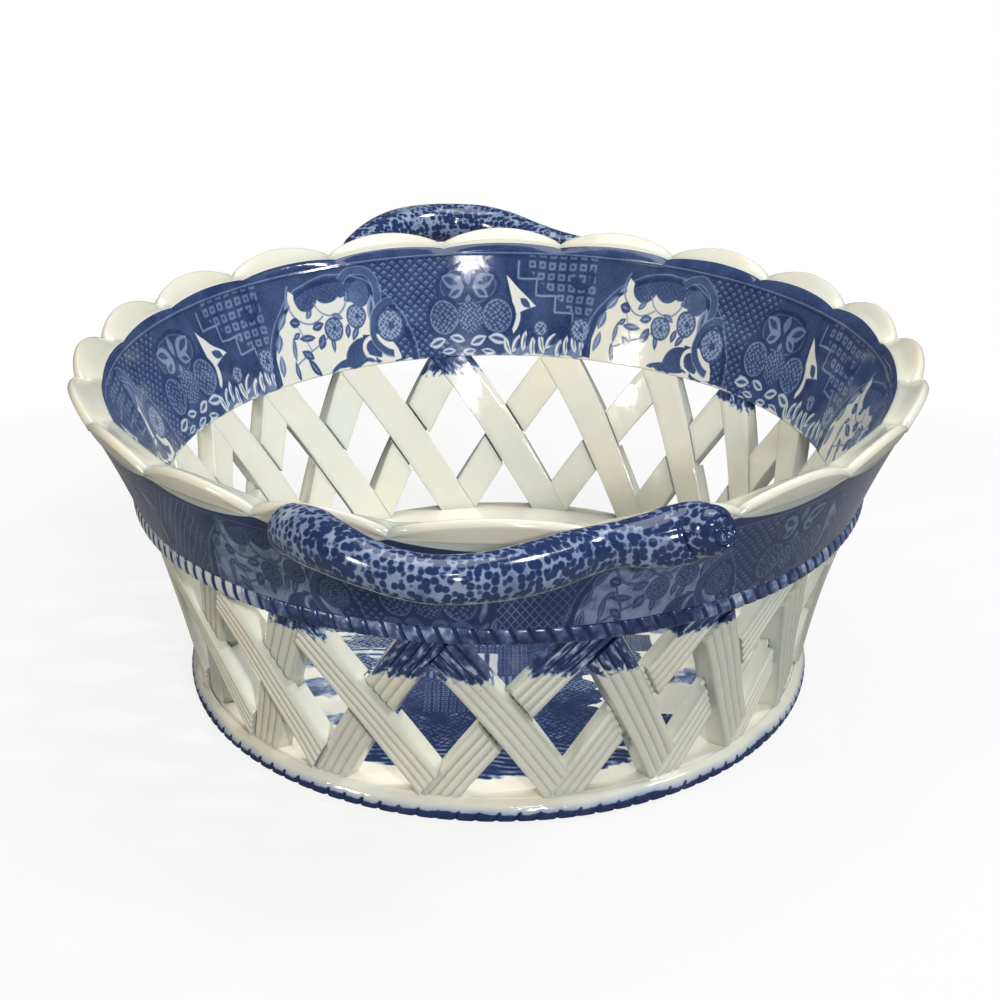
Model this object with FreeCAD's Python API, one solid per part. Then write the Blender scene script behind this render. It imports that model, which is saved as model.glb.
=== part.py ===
import FreeCAD
import Part
import math
import os
from FreeCAD import Vector

# Oval reticulated pearlware basket: a flat slab, a lattice of reeded clay strips that
# lap over one another, a flared band with a rope moulding, a scalloped lip and two
# twig handles. Every piece of clay is its own solid, and all of them are fired together.
# Millimetres, +Z up, origin at the centre of the underside, long axis along Y.

# Overall sizes
rim_half_width = 102.5
oval_stretch = 17.8
foot_half_width = 77.0
band_half_width = 88.9
floor_top = 5.0
opening_height = 43.0
rim_height = 77.4
wall_depth = 5.8

# Joints between pieces of clay
seam = 0.06
overrun = 2.0

# Lattice of reeded strips
bay_count = 20
strap_face = 8.0
strap_bevel = 1.0
over_relief = 1.2
lap_depth = 3.4
groove_count = 3
groove_width = 0.95
groove_depth = 0.55
block_margin_share = 0.12
# How far each junction was laid from an even spacing, as shares of one bay
top_shift_shares = (
    -0.10, -0.20, -0.18, -0.20, -0.10, 0.00, 0.00, 0.02, -0.05, -0.03,
    0.02, 0.03, 0.05, -0.08, 0.02, 0.20, 0.17, 0.10, 0.03, -0.03,
)
foot_shift_shares = (
    -0.10, -0.18, -0.20, -0.16, -0.08, 0.00, 0.04, 0.02, -0.03, 0.02,
    0.04, 0.06, 0.14, -0.02, 0.02, 0.07, 0.04, -0.06, -0.08, -0.10,
)

# Edge strip round the foot, nicked with a knife
foot_edge_out = 2.6
foot_edge_low = 0.4
foot_edge_top = 4.6
nicks_per_bay = 6
nick_width = 1.0
nick_depth = 0.9
foot_round = 0.9

# Rope moulding under the band
rope_height = 4.2
rope_rebate = 0.7
rope_out = 0.9
rope_groove = 0.7
rope_round = 1.0
rope_slant = 1.7
twists_per_bay = 8

# Scalloped lip
lip_height = 2.2
crest_rise = 4.2
crest_bulge = 2.1
lip_shoulder = 0.8
scallop_facets = 6
# How far each notch was cut from an even spacing, as shares of one scallop
notch_shift_shares = (
    0.00, 0.00, 0.00, 0.00, 0.00, 0.00, 0.00, 0.00, 0.00, 0.00,
    0.00, 0.00, 0.00, 0.00, -0.11, 0.09, 0.00, 0.00, 0.00, 0.00,
)

# Twig handles, pressed to the outside of the lip
handle_half_span = 46.0
handle_reach = 24.5
handle_rise = 0.2
handle_radius = 5.0
handle_facets = 14
handle_stations = 14
seat_gap = 0.15
# Line of the handle: share of the half span, share of the reach, lift in rod radii
handle_line_shares = (
    (-0.865, 0.29, 0.00),
    (-0.80, 0.44, 0.22),
    (-0.70, 0.66, 0.35),
    (-0.57, 0.86, 0.35),
    (-0.42, 0.97, 0.19),
    (-0.26, 1.00, 0.06),
    (-0.10, 0.93, 0.00),
    (0.05, 0.77, -0.12),
    (0.22, 0.52, -0.25),
    (0.37, 0.31, -0.27),
    (0.53, 0.21, -0.24),
    (0.68, 0.19, -0.28),
    (0.79, 0.21, -0.18),
    (0.87, 0.30, 0.06),
    (0.925, 0.45, 0.24),
)
# Thickness along the handle: share of its length, share of the rod radius
handle_girth_shares = (
    (0.00, 1.12), (0.08, 1.18), (0.18, 1.06), (0.28, 0.92), (0.36, 0.94), (0.48, 0.98), (0.60, 1.06),
    (0.68, 1.05), (0.75, 0.94), (0.81, 0.92), (0.86, 1.10), (0.91, 1.26), (0.95, 1.24), (1.00, 1.06),
)
# Rounded end: share of the radius set back, share of the radius left
tip_round_shares = ((1.00, 0.10), (0.88, 0.50), (0.58, 0.82))
# Whorled end, a dome with a ring in its middle: share of the radius set forward, share left
whorl_shares = ((0.26, 0.97), (0.54, 0.84), (0.74, 0.60), (0.66, 0.46), (0.78, 0.36), (0.68, 0.14))
# The back handle was pulled apart from the front one: it droops at its ends and sits aside
back_handle_drop = 3.2
back_drop_middle = -10.0
back_handle_shift = -2.0

band_bottom = floor_top + opening_height
opening_middle = floor_top + opening_height / 2
lip_base = rim_height - lip_height
handle_height = rim_height + handle_rise
sew_tolerance = seam / 100
table_steps = 1440
oval_facets = 3 * bay_count


def wall_half_width(height):
    """X half-width of the wall's outside: a parabola through foot, band and rim."""
    stations = (
        (floor_top, foot_half_width),
        (band_bottom, band_half_width),
        (rim_height, rim_half_width),
    )
    total = 0.0
    for own_height, own_width in stations:
        weight = 1.0
        for other_height, other_width in stations:
            if other_height != own_height:
                weight *= (height - other_height) / (own_height - other_height)
        total += weight * own_width
    return total


def perimeter_table():
    """Running length of the oval at the middle of the openings, as shares of a turn."""
    wide = wall_half_width(opening_middle)
    deep = wide + oval_stretch
    lengths = [0.0]
    for step in range(table_steps):
        middle = 2 * math.pi * (step + 0.5) / table_steps
        lengths.append(lengths[-1] + math.hypot(wide * math.sin(middle), deep * math.cos(middle)))
    return [length / lengths[-1] for length in lengths]


turn_table = perimeter_table()


def oval_angle(turn):
    """Ellipse angle that lies the given share of the way round, counted from +X."""
    whole = math.floor(turn)
    share = turn - whole
    low = 0
    high = table_steps
    while high - low > 1:
        middle = (low + high) // 2
        if turn_table[middle] <= share:
            low = middle
        else:
            high = middle
    part = (share - turn_table[low]) / (turn_table[high] - turn_table[low])
    return 2 * math.pi * (whole + (low + part) / table_steps)


def oval_point(turn, half_width, height):
    """A point on the oval of one level."""
    angle = oval_angle(turn)
    return Vector(
        half_width * math.cos(angle),
        (half_width + oval_stretch) * math.sin(angle),
        height,
    )


def wall_point(turn, height, depth):
    """A point of the wall, counted inwards from its outside."""
    return oval_point(turn, wall_half_width(height) - depth, height)


def solid_from_triangles(points, triangles):
    """A closed solid with flat three-sided faces, coplanar neighbours merged."""
    skin = Part.Shape()
    skin.makeShapeFromMesh((points, triangles), sew_tolerance)
    solid = Part.makeSolid(skin)
    if solid.Volume < 0:
        solid.reverse()
    return solid


def band_triangles(first, second, count):
    """Two triangles for each side between two loops of the same number of points."""
    triangles = []
    for index in range(count):
        after = (index + 1) % count
        triangles.append((first + index, first + after, second + after))
        triangles.append((first + index, second + after, second + index))
    return triangles


def faceted_ring(sections):
    """A closed ring through sections that follow each other round the oval."""
    count = len(sections[0])
    points = [point for section in sections for point in section]
    triangles = []
    for index in range(len(sections)):
        after = (index + 1) % len(sections)
        triangles += band_triangles(index * count, after * count, count)
    return solid_from_triangles(points, triangles)


def faceted_bar(sections, first_cap, last_cap):
    """A bar through sections, with its two ends closed by the given triangles."""
    count = len(sections[0])
    points = [point for section in sections for point in section]
    triangles = [(low, right, left) for low, left, right in first_cap]
    for index in range(len(sections) - 1):
        triangles += band_triangles(index * count, (index + 1) * count, count)
    last = (len(sections) - 1) * count
    triangles += [(last + low, last + left, last + right) for low, left, right in last_cap]
    return solid_from_triangles(points, triangles)


def girth(height):
    """Length once round the wall's outside at one level."""
    wide = wall_half_width(height)
    return 2 * math.pi * math.hypot(wide, wide + oval_stretch) / math.sqrt(2)


def junction_turn(index, shift_shares):
    """Place of one junction of the lattice, as a share of the way round."""
    shift = shift_shares[(index % bay_count) % len(shift_shares)]
    return (index + 0.5 + shift) / bay_count


def strap_turns(bay, rising):
    """Places of a strap's middle at the floor and under the band."""
    if rising:
        return junction_turn(bay, foot_shift_shares), junction_turn(bay + 1, top_shift_shares)
    return junction_turn(bay + 1, foot_shift_shares), junction_turn(bay, top_shift_shares)


def half_strap(depth):
    """Half the level width of a strap at a depth, as a share of the way round."""
    run = girth(opening_middle) / bay_count
    slope = math.hypot(run, opening_height) / opening_height
    half = strap_face / 2 + strap_bevel * depth / wall_depth
    return half * slope / girth(opening_middle)


def meeting_share(bay, rising, across, depth, other_bay, other_side):
    """Share of the height where a line of one strap meets a line of another one."""
    low, high = strap_turns(bay, rising)
    other_low, other_high = strap_turns(other_bay, not rising)
    start = low + across * half_strap(depth)
    return (other_low + other_side - start) / ((high - low) - (other_high - other_low))


def strap_profile(face_depth):
    """Points across a strap: the reeded face, then the plain back."""
    half_groove = groove_width / strap_face
    profile = [(-1.0, face_depth)]
    for groove in range(groove_count):
        middle = -1.0 + 2.0 * (groove + 1) / (groove_count + 1)
        profile.append((middle - half_groove, face_depth))
        profile.append((middle, face_depth + groove_depth))
        profile.append((middle + half_groove, face_depth))
    profile.append((1.0, face_depth))
    profile.append((1.0, wall_depth))
    profile.append((-1.0, wall_depth))
    return profile


def strap_cap(count):
    """Triangles that close a strap's end, fanned from the two back corners."""
    left_back = count - 1
    right_back = count - 2
    middle = (count - 2) // 2
    cap = []
    for index in range(count - 3):
        back = left_back if index < middle else right_back
        cap.append((back, index, index + 1))
    cap.append((left_back, middle, right_back))
    return cap


class Crossing:
    """The flat place where the two straps of one bay lap over each other."""

    def __init__(self, bay):
        self.share = meeting_share(bay, True, 0.0, 0.0, bay, 0.0)
        low, high = strap_turns(bay, True)
        self.turn = low + (high - low) * self.share
        self.height = floor_top + opening_height * self.share
        self.place = wall_point(self.turn, self.height, 0.0)
        small_turn = 1.0 / table_steps
        small_rise = seam
        ahead = wall_point(self.turn + small_turn, self.height, 0.0)
        behind = wall_point(self.turn - small_turn, self.height, 0.0)
        above = wall_point(self.turn, self.height + small_rise, 0.0)
        below = wall_point(self.turn, self.height - small_rise, 0.0)
        self.round_way = (ahead - behind) / (2 * small_turn)
        self.up_way = (above - below) / (2 * small_rise)
        angle = oval_angle(self.turn)
        self.inward = Vector(-math.cos(angle), -math.sin(angle), 0)

    def point(self, turn, height, depth):
        """A point of the flat place."""
        along = self.round_way * (turn - self.turn)
        rise = self.up_way * (height - self.height)
        return self.place + along + rise + self.inward * depth


def block_section(bay, rising, profile, side, crossing):
    """Section of a strap beside its crossing, cut along the other strap's edge."""
    low, high = strap_turns(bay, rising)
    edge = side * half_strap(wall_depth) * (1 + block_margin_share)
    section = []
    for across, depth in profile:
        share = meeting_share(bay, rising, across, depth, bay, edge)
        turn = low + (high - low) * share + across * half_strap(depth)
        section.append(crossing.point(turn, floor_top + opening_height * share, depth))
    return section


def end_section(bay, rising, profile, top):
    """Section at a strap's end: level on the rising straps, mitred on the falling ones."""
    low, high = strap_turns(bay, rising)
    section = []
    for across, depth in profile:
        share = 1.0 if top else 0.0
        if not rising:
            neighbour = bay - 1 if top else bay + 1
            side = 1.0 if top else -1.0
            edge = side * (half_strap(depth) + seam / girth(opening_middle))
            share = meeting_share(bay, rising, across, depth, neighbour, edge)
        turn = low + (high - low) * share + across * half_strap(depth)
        section.append(wall_point(turn, floor_top + opening_height * share, depth))
    return section


def lap_tool(bay, rising, crossing, shallow, deep):
    """The straight bar of one strap's width that is cut out of the strap it crosses."""
    low, high = strap_turns(bay, rising)
    gap = seam / girth(opening_middle)
    reach = 2 * half_strap(wall_depth)
    share = meeting_share(bay, rising, 0.0, 0.0, bay, -reach)
    far_share = meeting_share(bay, rising, 0.0, 0.0, bay, reach)
    height = floor_top + opening_height * share
    corners = []
    for side, depth in ((-1.0, shallow), (1.0, shallow), (1.0, deep), (-1.0, deep)):
        turn = low + (high - low) * share + side * (half_strap(depth) + gap)
        corners.append(crossing.point(turn, height, depth))
    start = crossing.point(low + (high - low) * share, height, 0.0)
    end_height = floor_top + opening_height * far_share
    end = crossing.point(low + (high - low) * far_share, end_height, 0.0)
    return Part.Face(Part.makePolygon(corners + corners[:1])).extrude(end - start)


def make_strap(bay, rising):
    """One reeded strip of clay, halved where it crosses the other strip of its bay."""
    crossing = Crossing(bay)
    profile = strap_profile(over_relief if rising else 0.0)
    sides = (-1.0, 1.0) if rising else (1.0, -1.0)
    sections = [
        end_section(bay, rising, profile, False),
        block_section(bay, rising, profile, sides[0], crossing),
        block_section(bay, rising, profile, sides[1], crossing),
        end_section(bay, rising, profile, True),
    ]
    cap = strap_cap(len(profile))
    strap = faceted_bar(sections, cap, cap)
    if rising:
        tool = lap_tool(bay, False, crossing, -overrun, lap_depth)
    else:
        tool = lap_tool(bay, True, crossing, lap_depth - seam, wall_depth + overrun)
    return strap.cut(tool).removeSplitter().Solids[0]


def make_base_plate():
    """The flat oval slab that the lattice stands on."""
    outline = []
    for facet in range(oval_facets):
        outline.append(oval_point(facet / oval_facets, foot_half_width - foot_edge_out / 2, 0))
    return Part.Face(Part.makePolygon(outline + outline[:1])).extrude(Vector(0, 0, floor_top))


def make_foot_edge():
    """A strip round the slab's edge with knife nicks in its upper side."""
    inner = foot_half_width - foot_edge_out / 2 + seam
    outer = inner + foot_edge_out
    nick_count = bay_count * nicks_per_bay
    half_nick = nick_width / 2 / girth(floor_top)
    sections = []
    for nick in range(nick_count):
        middle = nick / nick_count
        for offset, cut in ((-half_nick, 0.0), (0.0, nick_depth), (half_nick, 0.0)):
            turn = middle + offset
            sections.append([
                oval_point(turn, inner, foot_edge_low),
                oval_point(turn, outer - cut / 2, foot_edge_low),
                oval_point(turn, outer - cut, foot_edge_top - foot_round),
                oval_point(turn, inner + foot_round, foot_edge_top - cut),
            ])
    return faceted_ring(sections)


def rope_inner_half_width():
    """Radius of the step in the band that the rope is laid in."""
    return wall_half_width(band_bottom) - rope_rebate


def make_rope_moulding():
    """A twisted roll of clay laid in the step at the band's lower edge."""
    inner = rope_inner_half_width() + seam
    low = band_bottom + seam
    high = band_bottom + rope_height - seam
    twist_count = bay_count * twists_per_bay
    slant = rope_slant / 2 / girth(band_bottom)
    sections = []
    for step in range(2 * twist_count):
        turn = step / (2 * twist_count)
        cut = rope_groove if step % 2 else 0.0
        outer = wall_half_width(band_bottom + rope_height / 2) + rope_out - cut
        sections.append([
            oval_point(turn, inner, low),
            oval_point(turn + slant, outer, low + rope_round),
            oval_point(turn - slant, outer, high - rope_round),
            oval_point(turn, inner, high),
        ])
    return faceted_ring(sections)


def band_section(turn):
    """Section of the band: the step for the rope, the flared outside and the inside."""
    step_top = band_bottom + rope_height
    middle = (step_top + lip_base) / 2
    return [
        oval_point(turn, rope_inner_half_width(), band_bottom),
        oval_point(turn, rope_inner_half_width(), step_top),
        wall_point(turn, step_top, 0.0),
        wall_point(turn, middle, 0.0),
        wall_point(turn, lip_base, 0.0),
        wall_point(turn, lip_base, wall_depth),
        wall_point(turn, middle, wall_depth),
        wall_point(turn, band_bottom, wall_depth),
    ]


def make_rim_band():
    """The plain flared band that carries the print."""
    return faceted_ring([band_section(facet / oval_facets) for facet in range(oval_facets)])


def notch_turn(index):
    """Place of one notch between two scallops, as a share of the way round."""
    shift = notch_shift_shares[index % len(notch_shift_shares)]
    return (index + 0.5 + shift) / bay_count


def lip_section(turn, crest):
    """Section of the lip, where crest runs from 0 at a notch to 1 at a scallop's top."""
    outer = wall_half_width(lip_base)
    inner = outer - wall_depth
    edge = rim_half_width + crest_bulge * crest
    top = rim_height + crest_rise * crest
    middle = (lip_base + top) / 2
    return [
        oval_point(turn, outer, lip_base),
        oval_point(turn, edge, middle),
        oval_point(turn, edge - lip_shoulder, top - lip_shoulder),
        oval_point(turn, (outer + inner) / 2, top),
        oval_point(turn, inner + lip_shoulder / 2, top - lip_shoulder),
        oval_point(turn, inner, lip_base),
    ]


def make_scalloped_lip():
    """The rolled lip, pinched into scallops with a notch between each pair."""
    sections = []
    for scallop in range(bay_count):
        start = notch_turn(scallop)
        end = notch_turn(scallop + 1)
        if scallop == bay_count - 1:
            end = 1 + notch_turn(0)
        for facet in range(scallop_facets):
            share = facet / scallop_facets
            crest = math.sin(math.pi * share) ** 0.75
            sections.append(lip_section(start + (end - start) * share, crest))
    return faceted_ring(sections)


def share_at(table, share):
    """Value of a table of pairs at a share, in straight lines between its rows."""
    for (low, low_value), (high, high_value) in zip(table, table[1:]):
        if share <= high:
            return low_value + (high_value - low_value) * (share - low) / (high - low)
    return table[-1][1]


def pressed_out(point):
    """The point itself, or its place on the wall's face where clay was pressed flat."""
    half_width = wall_half_width(point.z)
    if point.z > lip_base:
        half_width = max(half_width, rim_half_width + crest_bulge)
    half_width = min(half_width, rim_half_width + crest_bulge) + seat_gap
    inside = math.hypot(point.x / half_width, point.y / (half_width + oval_stretch))
    if inside >= 1:
        return point
    return Vector(point.x / inside, point.y / inside, point.z)


def handle_ring(place, along, radius):
    """One section of the handle, pressed flat where it meets the wall."""
    side = along.cross(Vector(0, 0, 1)).normalize()
    lift = side.cross(along).normalize()
    ring = []
    for facet in range(handle_facets):
        angle = 2 * math.pi * facet / handle_facets
        offset = side * (radius * math.cos(angle)) + lift * (radius * math.sin(angle))
        ring.append(pressed_out(place + offset))
    return ring


def handle_curve(drop, shift):
    """The middle line of a handle at the front, drooping at its ends and moved aside."""
    places = []
    for along, reach, lift in handle_line_shares:
        x = handle_half_span * along + shift
        wall = (rim_half_width + oval_stretch) * math.sqrt(1 - (x / rim_half_width) ** 2)
        y = -(wall + handle_reach * reach)
        droop = drop * ((x - back_drop_middle) / handle_half_span) ** 2
        places.append(Vector(x, y, handle_height + handle_radius * lift - droop))
    curve = Part.BSplineCurve()
    curve.interpolate(places)
    return curve


def make_handle(drop, shift):
    """A handle at the front: a pulled twig, rounded at one end and whorled at the other."""
    curve = handle_curve(drop, shift)
    first = curve.FirstParameter
    span = curve.LastParameter - first
    start = curve.value(first)
    start_way = curve.tangent(first)[0]
    start_radius = handle_radius * share_at(handle_girth_shares, 0.0)
    rings = []
    for back, left in tip_round_shares:
        place = start - start_way * (start_radius * back)
        rings.append(handle_ring(place, start_way, start_radius * left))
    for station in range(handle_stations + 1):
        share = station / handle_stations
        place = curve.value(first + span * share)
        way = curve.tangent(first + span * share)[0]
        radius = handle_radius * share_at(handle_girth_shares, share)
        rings.append(handle_ring(place, way, radius))
    for forward, left in whorl_shares:
        rings.append(handle_ring(place + way * (radius * forward), way, radius * left))
    fan = [(0, index, index + 1) for index in range(1, handle_facets - 1)]
    return faceted_bar(rings, fan, fan)


def make_pieces():
    """Every piece of the basket, by name."""
    pieces = {
        "base_plate": make_base_plate(),
        "foot_edge": make_foot_edge(),
        "rope_moulding": make_rope_moulding(),
        "rim_band": make_rim_band(),
        "scalloped_lip": make_scalloped_lip(),
    }
    for bay in range(bay_count):
        pieces["under_strap_%02d" % (bay + 1)] = make_strap(bay, True)
        pieces["over_strap_%02d" % (bay + 1)] = make_strap(bay, False)
    pieces["handle_front"] = make_handle(0.0, 0.0)
    back = make_handle(back_handle_drop, back_handle_shift)
    pieces["handle_back"] = back.mirror(Vector(0, 0, 0), Vector(0, 1, 0))
    return pieces


os.makedirs("parts", exist_ok=True)
for name, piece in make_pieces().items():
    piece.exportStep("parts/" + name + ".step")
    print(name, round(piece.Volume, 1), "mm3, valid", piece.isValid(), "faces", len(piece.Faces))
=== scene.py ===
import math

import bpy
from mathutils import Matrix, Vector, noise


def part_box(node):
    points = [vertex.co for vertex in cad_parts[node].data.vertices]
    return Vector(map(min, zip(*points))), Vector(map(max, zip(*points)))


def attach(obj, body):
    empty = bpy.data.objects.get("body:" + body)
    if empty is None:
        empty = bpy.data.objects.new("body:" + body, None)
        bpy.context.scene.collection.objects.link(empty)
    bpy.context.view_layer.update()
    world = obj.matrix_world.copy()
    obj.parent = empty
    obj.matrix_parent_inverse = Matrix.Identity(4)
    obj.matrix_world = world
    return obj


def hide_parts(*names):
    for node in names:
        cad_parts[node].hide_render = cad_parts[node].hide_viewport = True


# Oval reticulated pearlware basket, dressed as fired, printed and glazed clay.
# Sizes are in millimetres until a mesh is made. Places round the wall are turns,
# counted from +X towards +Y, and heights are counted from the table.

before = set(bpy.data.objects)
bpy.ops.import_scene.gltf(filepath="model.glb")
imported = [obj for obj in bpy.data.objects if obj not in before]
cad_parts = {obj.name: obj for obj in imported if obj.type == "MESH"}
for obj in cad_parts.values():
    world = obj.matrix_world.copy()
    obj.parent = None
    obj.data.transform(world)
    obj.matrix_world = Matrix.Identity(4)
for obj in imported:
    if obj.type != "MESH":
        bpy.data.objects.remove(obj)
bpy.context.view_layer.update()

MM = 0.001

# Sizes of the wall, read from the frame
plate_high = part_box("base_plate")[1]
band_low, band_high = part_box("rim_band")
lip_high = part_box("scalloped_lip")[1]
floor_top = plate_high.z / MM
plate_half_width = plate_high.x / MM
oval_stretch = (plate_high.y - plate_high.x) / MM
band_bottom = band_low.z / MM
lip_base = band_high.z / MM
lip_base_half_width = band_high.x / MM
lip_crest = lip_high.z / MM
opening_height = band_bottom - floor_top
opening_middle = floor_top + opening_height / 2

# Sizes of the wall that the frame doesn't give
foot_edge_out = 2.6
foot_half_width = plate_half_width + foot_edge_out / 2
band_half_width = 88.9
wall_depth = 5.8
seam = 0.06

# Lattice
bay_count = 20
strap_face = 8.0
strap_bevel = 1.0
over_relief = 1.2
lap_depth = 3.4
reed_count = 4
groove_depth = 0.6
reed_fullness = 2.8
block_margin_share = 0.12
lap_gap = 0.02
foot_pool_share = 0.75
foot_pool_height = 4.0
lap_pool_share = 0.65
lap_pool_fade_share = 0.5
# How far apart the straps lie on the sheet that their streaks are drawn on
lay_pitch = 20
top_shift_shares = (
    -0.10, -0.20, -0.18, -0.20, -0.10, 0.00, 0.00, 0.02, -0.05, -0.03,
    0.02, 0.03, 0.05, -0.08, 0.02, 0.20, 0.17, 0.10, 0.03, -0.03,
)
foot_shift_shares = (
    -0.10, -0.18, -0.20, -0.16, -0.08, 0.00, 0.04, 0.02, -0.03, 0.02,
    0.04, 0.06, 0.14, -0.02, 0.02, 0.07, 0.04, -0.06, -0.08, -0.10,
)
# How far the straps waver, over what length, and how near their ends they lie true again
strap_waver = 0.30
waver_length = 22.0
waver_seed = 11
foot_hold = 6.0
top_hold = 4.0
# How far print runs down the straps from each junction under the band
print_runs = (
    -6.0, -6.0, 2.5, -6.0, -6.0, 5.0, -6.0, -6.0, -6.0, -6.0,
    -6.0, -6.0, -6.0, 4.5, 13.0, 12.0, 5.0, -6.0, -6.0, -6.0,
)

# Foot edge, rope and lip
foot_edge_low = 0.4
foot_edge_top = 4.6
nicks_per_bay = 6
nick_depth = 0.7
nick_top = 3.1
nick_run_out = 0.9
nick_face = 1.2
nick_width_share = 0.11
nick_lean = 0.35
nick_shares = (1.0, 0.6, 0.9, 0.45, 1.0, 0.75, 0.85)
rope_height = 4.2
rope_rebate = 0.7
rope_out = 0.9
rope_groove = 0.7
rope_face = 0.9
rope_slant = 1.7
twists_per_bay = 8
rim_half_width = 102.5
rim_height = 77.4
crest_bulge = 2.1
band_round = 0.4
crescent_depth = 2.2
scallop_fullness = 0.75
lip_inset = 0.15
notch_pool_share = 0.85
inside_pool_share = 0.34
outside_pool_share = 0.10
notch_shift_shares = (
    0.00, 0.00, 0.00, 0.00, 0.00, 0.00, 0.00, 0.00, 0.00, 0.00,
    0.00, 0.00, 0.00, 0.00, -0.11, 0.09, 0.00, 0.00, 0.00, 0.00,
)

# Border: height of its upper line, its repeats in one turn and where the first one starts
outer_line = 24.1
outer_repeats = 7.0
outer_start = 0.0787
inner_line = 27.9
inner_repeats = 5.64
inner_start = 0.1511

# How far the print reaches up the lip's inner face, by the turn
print_reaches = (
    (0.0, 0.9), (0.05, 1.7), (0.15, 1.7), (0.25, 0.9), (0.36, 0.6), (0.46, 0.2),
    (0.52, 0.0), (0.93, 0.0), (1.0, 0.9),
)

# Handles
handle_half_span = 46.0
handle_reach = 24.5
handle_height = 77.6
handle_radius = 5.0
seat_gap = 0.15
handle_line_shares = (
    (-0.865, 0.29, 0.00),
    (-0.80, 0.44, 0.22),
    (-0.70, 0.66, 0.35),
    (-0.57, 0.86, 0.35),
    (-0.42, 0.97, 0.19),
    (-0.26, 1.00, 0.06),
    (-0.10, 0.93, 0.00),
    (0.05, 0.77, -0.12),
    (0.22, 0.52, -0.25),
    (0.37, 0.31, -0.27),
    (0.53, 0.21, -0.24),
    (0.68, 0.19, -0.28),
    (0.79, 0.21, -0.18),
    (0.87, 0.30, 0.06),
    (0.925, 0.45, 0.24),
)
handle_girth_shares = (
    (0.00, 1.12), (0.08, 1.18), (0.18, 1.06), (0.28, 0.92), (0.36, 0.94), (0.48, 0.98), (0.60, 1.06),
    (0.68, 1.05), (0.75, 0.94), (0.81, 0.92), (0.86, 1.10), (0.91, 1.26), (0.95, 1.24), (1.00, 1.06),
)
tip_round_shares = (
    (1.00, 0.06), (0.985, 0.20), (0.94, 0.37), (0.86, 0.54), (0.74, 0.70),
    (0.58, 0.83), (0.40, 0.93), (0.20, 0.985),
)
# The whorled end: share of the radius set forward, share left, depth of hollow, cut by rays
whorl_shares = (
    (0.13, 0.99, 0.0, 0.0), (0.26, 0.97, 0.0, 0.0), (0.40, 0.92, 0.0, 0.0), (0.54, 0.84, 0.0, 0.0),
    (0.65, 0.74, 0.0, 0.0), (0.72, 0.66, 0.1, 0.0), (0.70, 0.61, 0.8, 0.0), (0.66, 0.57, 1.0, 0.0),
    (0.70, 0.53, 0.7, 0.0), (0.77, 0.49, 0.0, 0.0), (0.79, 0.44, 0.0, 0.1), (0.78, 0.39, 0.0, 0.3),
    (0.75, 0.33, 0.1, 0.6), (0.72, 0.26, 0.2, 0.9), (0.69, 0.18, 0.4, 1.0), (0.66, 0.10, 0.8, 0.6),
    (0.62, 0.04, 1.0, 0.0),
)
whorl_cut_depth = 0.35
whorl_cuts = 9
back_handle_drop = 3.8
back_drop_middle = -10.0
back_handle_shift = -2.0
back_handle_press = 1.5
back_girth_shares = (
    (0.00, 1.00), (0.10, 1.10), (0.28, 1.16), (0.55, 1.16),
    (0.68, 1.00), (0.78, 0.86), (0.90, 0.76), (1.00, 0.66),
)

# Glaze: how strongly it bends light, and the depth of its ripples
glaze_ior = 1.52
glaze_ripple = 0.08
handle_ripple = 0.05

# Glaze and cobalt colours, as linear red, green and blue
pearl_white = (0.70, 0.72, 0.66, 1.0)
pearl_warm = (0.76, 0.72, 0.57, 1.0)
# Paler copy of the clay, painted light: it makes the floor look more brightly lit
pearl_painted_lit = (0.90, 0.87, 0.74, 1.0)
pooled_glaze = (0.36, 0.45, 0.42, 1.0)
cobalt_dark = (0.012, 0.026, 0.095, 1.0)
cobalt_mid = (0.085, 0.135, 0.27, 1.0)
cobalt_pale = (0.33, 0.41, 0.55, 1.0)
white_veil = 0.46
dots_per_mm = 0.62
rust_spot = (0.22, 0.12, 0.05, 1.0)
table_seen = (0.78, 0.78, 0.78, 1.0)
table_lit = (0.22, 0.22, 0.22, 1.0)
warm_light = (1.0, 0.91, 0.76)
sky_colour = (0.97, 0.98, 1.0, 1.0)
sky_strength = 0.10


# Shape of the wall

def wall_half_width(height):
    """X half-width of the wall's outside at one height."""
    stations = (
        (floor_top, foot_half_width),
        (band_bottom, band_half_width),
        (lip_base, lip_base_half_width),
    )
    total = 0.0
    for own_height, own_width in stations:
        weight = 1.0
        for other_height in [station[0] for station in stations]:
            if other_height != own_height:
                weight *= (height - other_height) / (own_height - other_height)
        total += weight * own_width
    return total


def perimeter_table(steps):
    """Running length of the oval at the middle of the openings, as shares of a turn."""
    wide = wall_half_width(opening_middle)
    deep = wide + oval_stretch
    lengths = [0.0]
    for step in range(steps):
        middle = 2 * math.pi * (step + 0.5) / steps
        lengths.append(lengths[-1] + math.hypot(wide * math.sin(middle), deep * math.cos(middle)))
    return [length / lengths[-1] for length in lengths]


table_steps = 1440
turn_table = perimeter_table(table_steps)


def oval_angle(turn):
    """Ellipse angle that lies the given share of the way round, counted from +X."""
    whole = math.floor(turn)
    share = turn - whole
    low = 0
    high = table_steps
    while high - low > 1:
        middle = (low + high) // 2
        if turn_table[middle] <= share:
            low = middle
        else:
            high = middle
    part = (share - turn_table[low]) / (turn_table[high] - turn_table[low])
    return 2 * math.pi * (whole + (low + part) / table_steps)


def oval_point(turn, half_width, height):
    """A point on the oval of one level."""
    angle = oval_angle(turn)
    deep = half_width + oval_stretch
    return Vector((half_width * math.cos(angle), deep * math.sin(angle), height))


def wall_point(turn, height, depth):
    """A point of the wall, counted inwards from its outside."""
    return oval_point(turn, wall_half_width(height) - depth, height)


def girth(height):
    """Length once round the wall's outside at one level."""
    wide = wall_half_width(height)
    return 2 * math.pi * math.hypot(wide, wide + oval_stretch) / math.sqrt(2)


middle_girth = girth(opening_middle)


# Meshes

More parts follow.
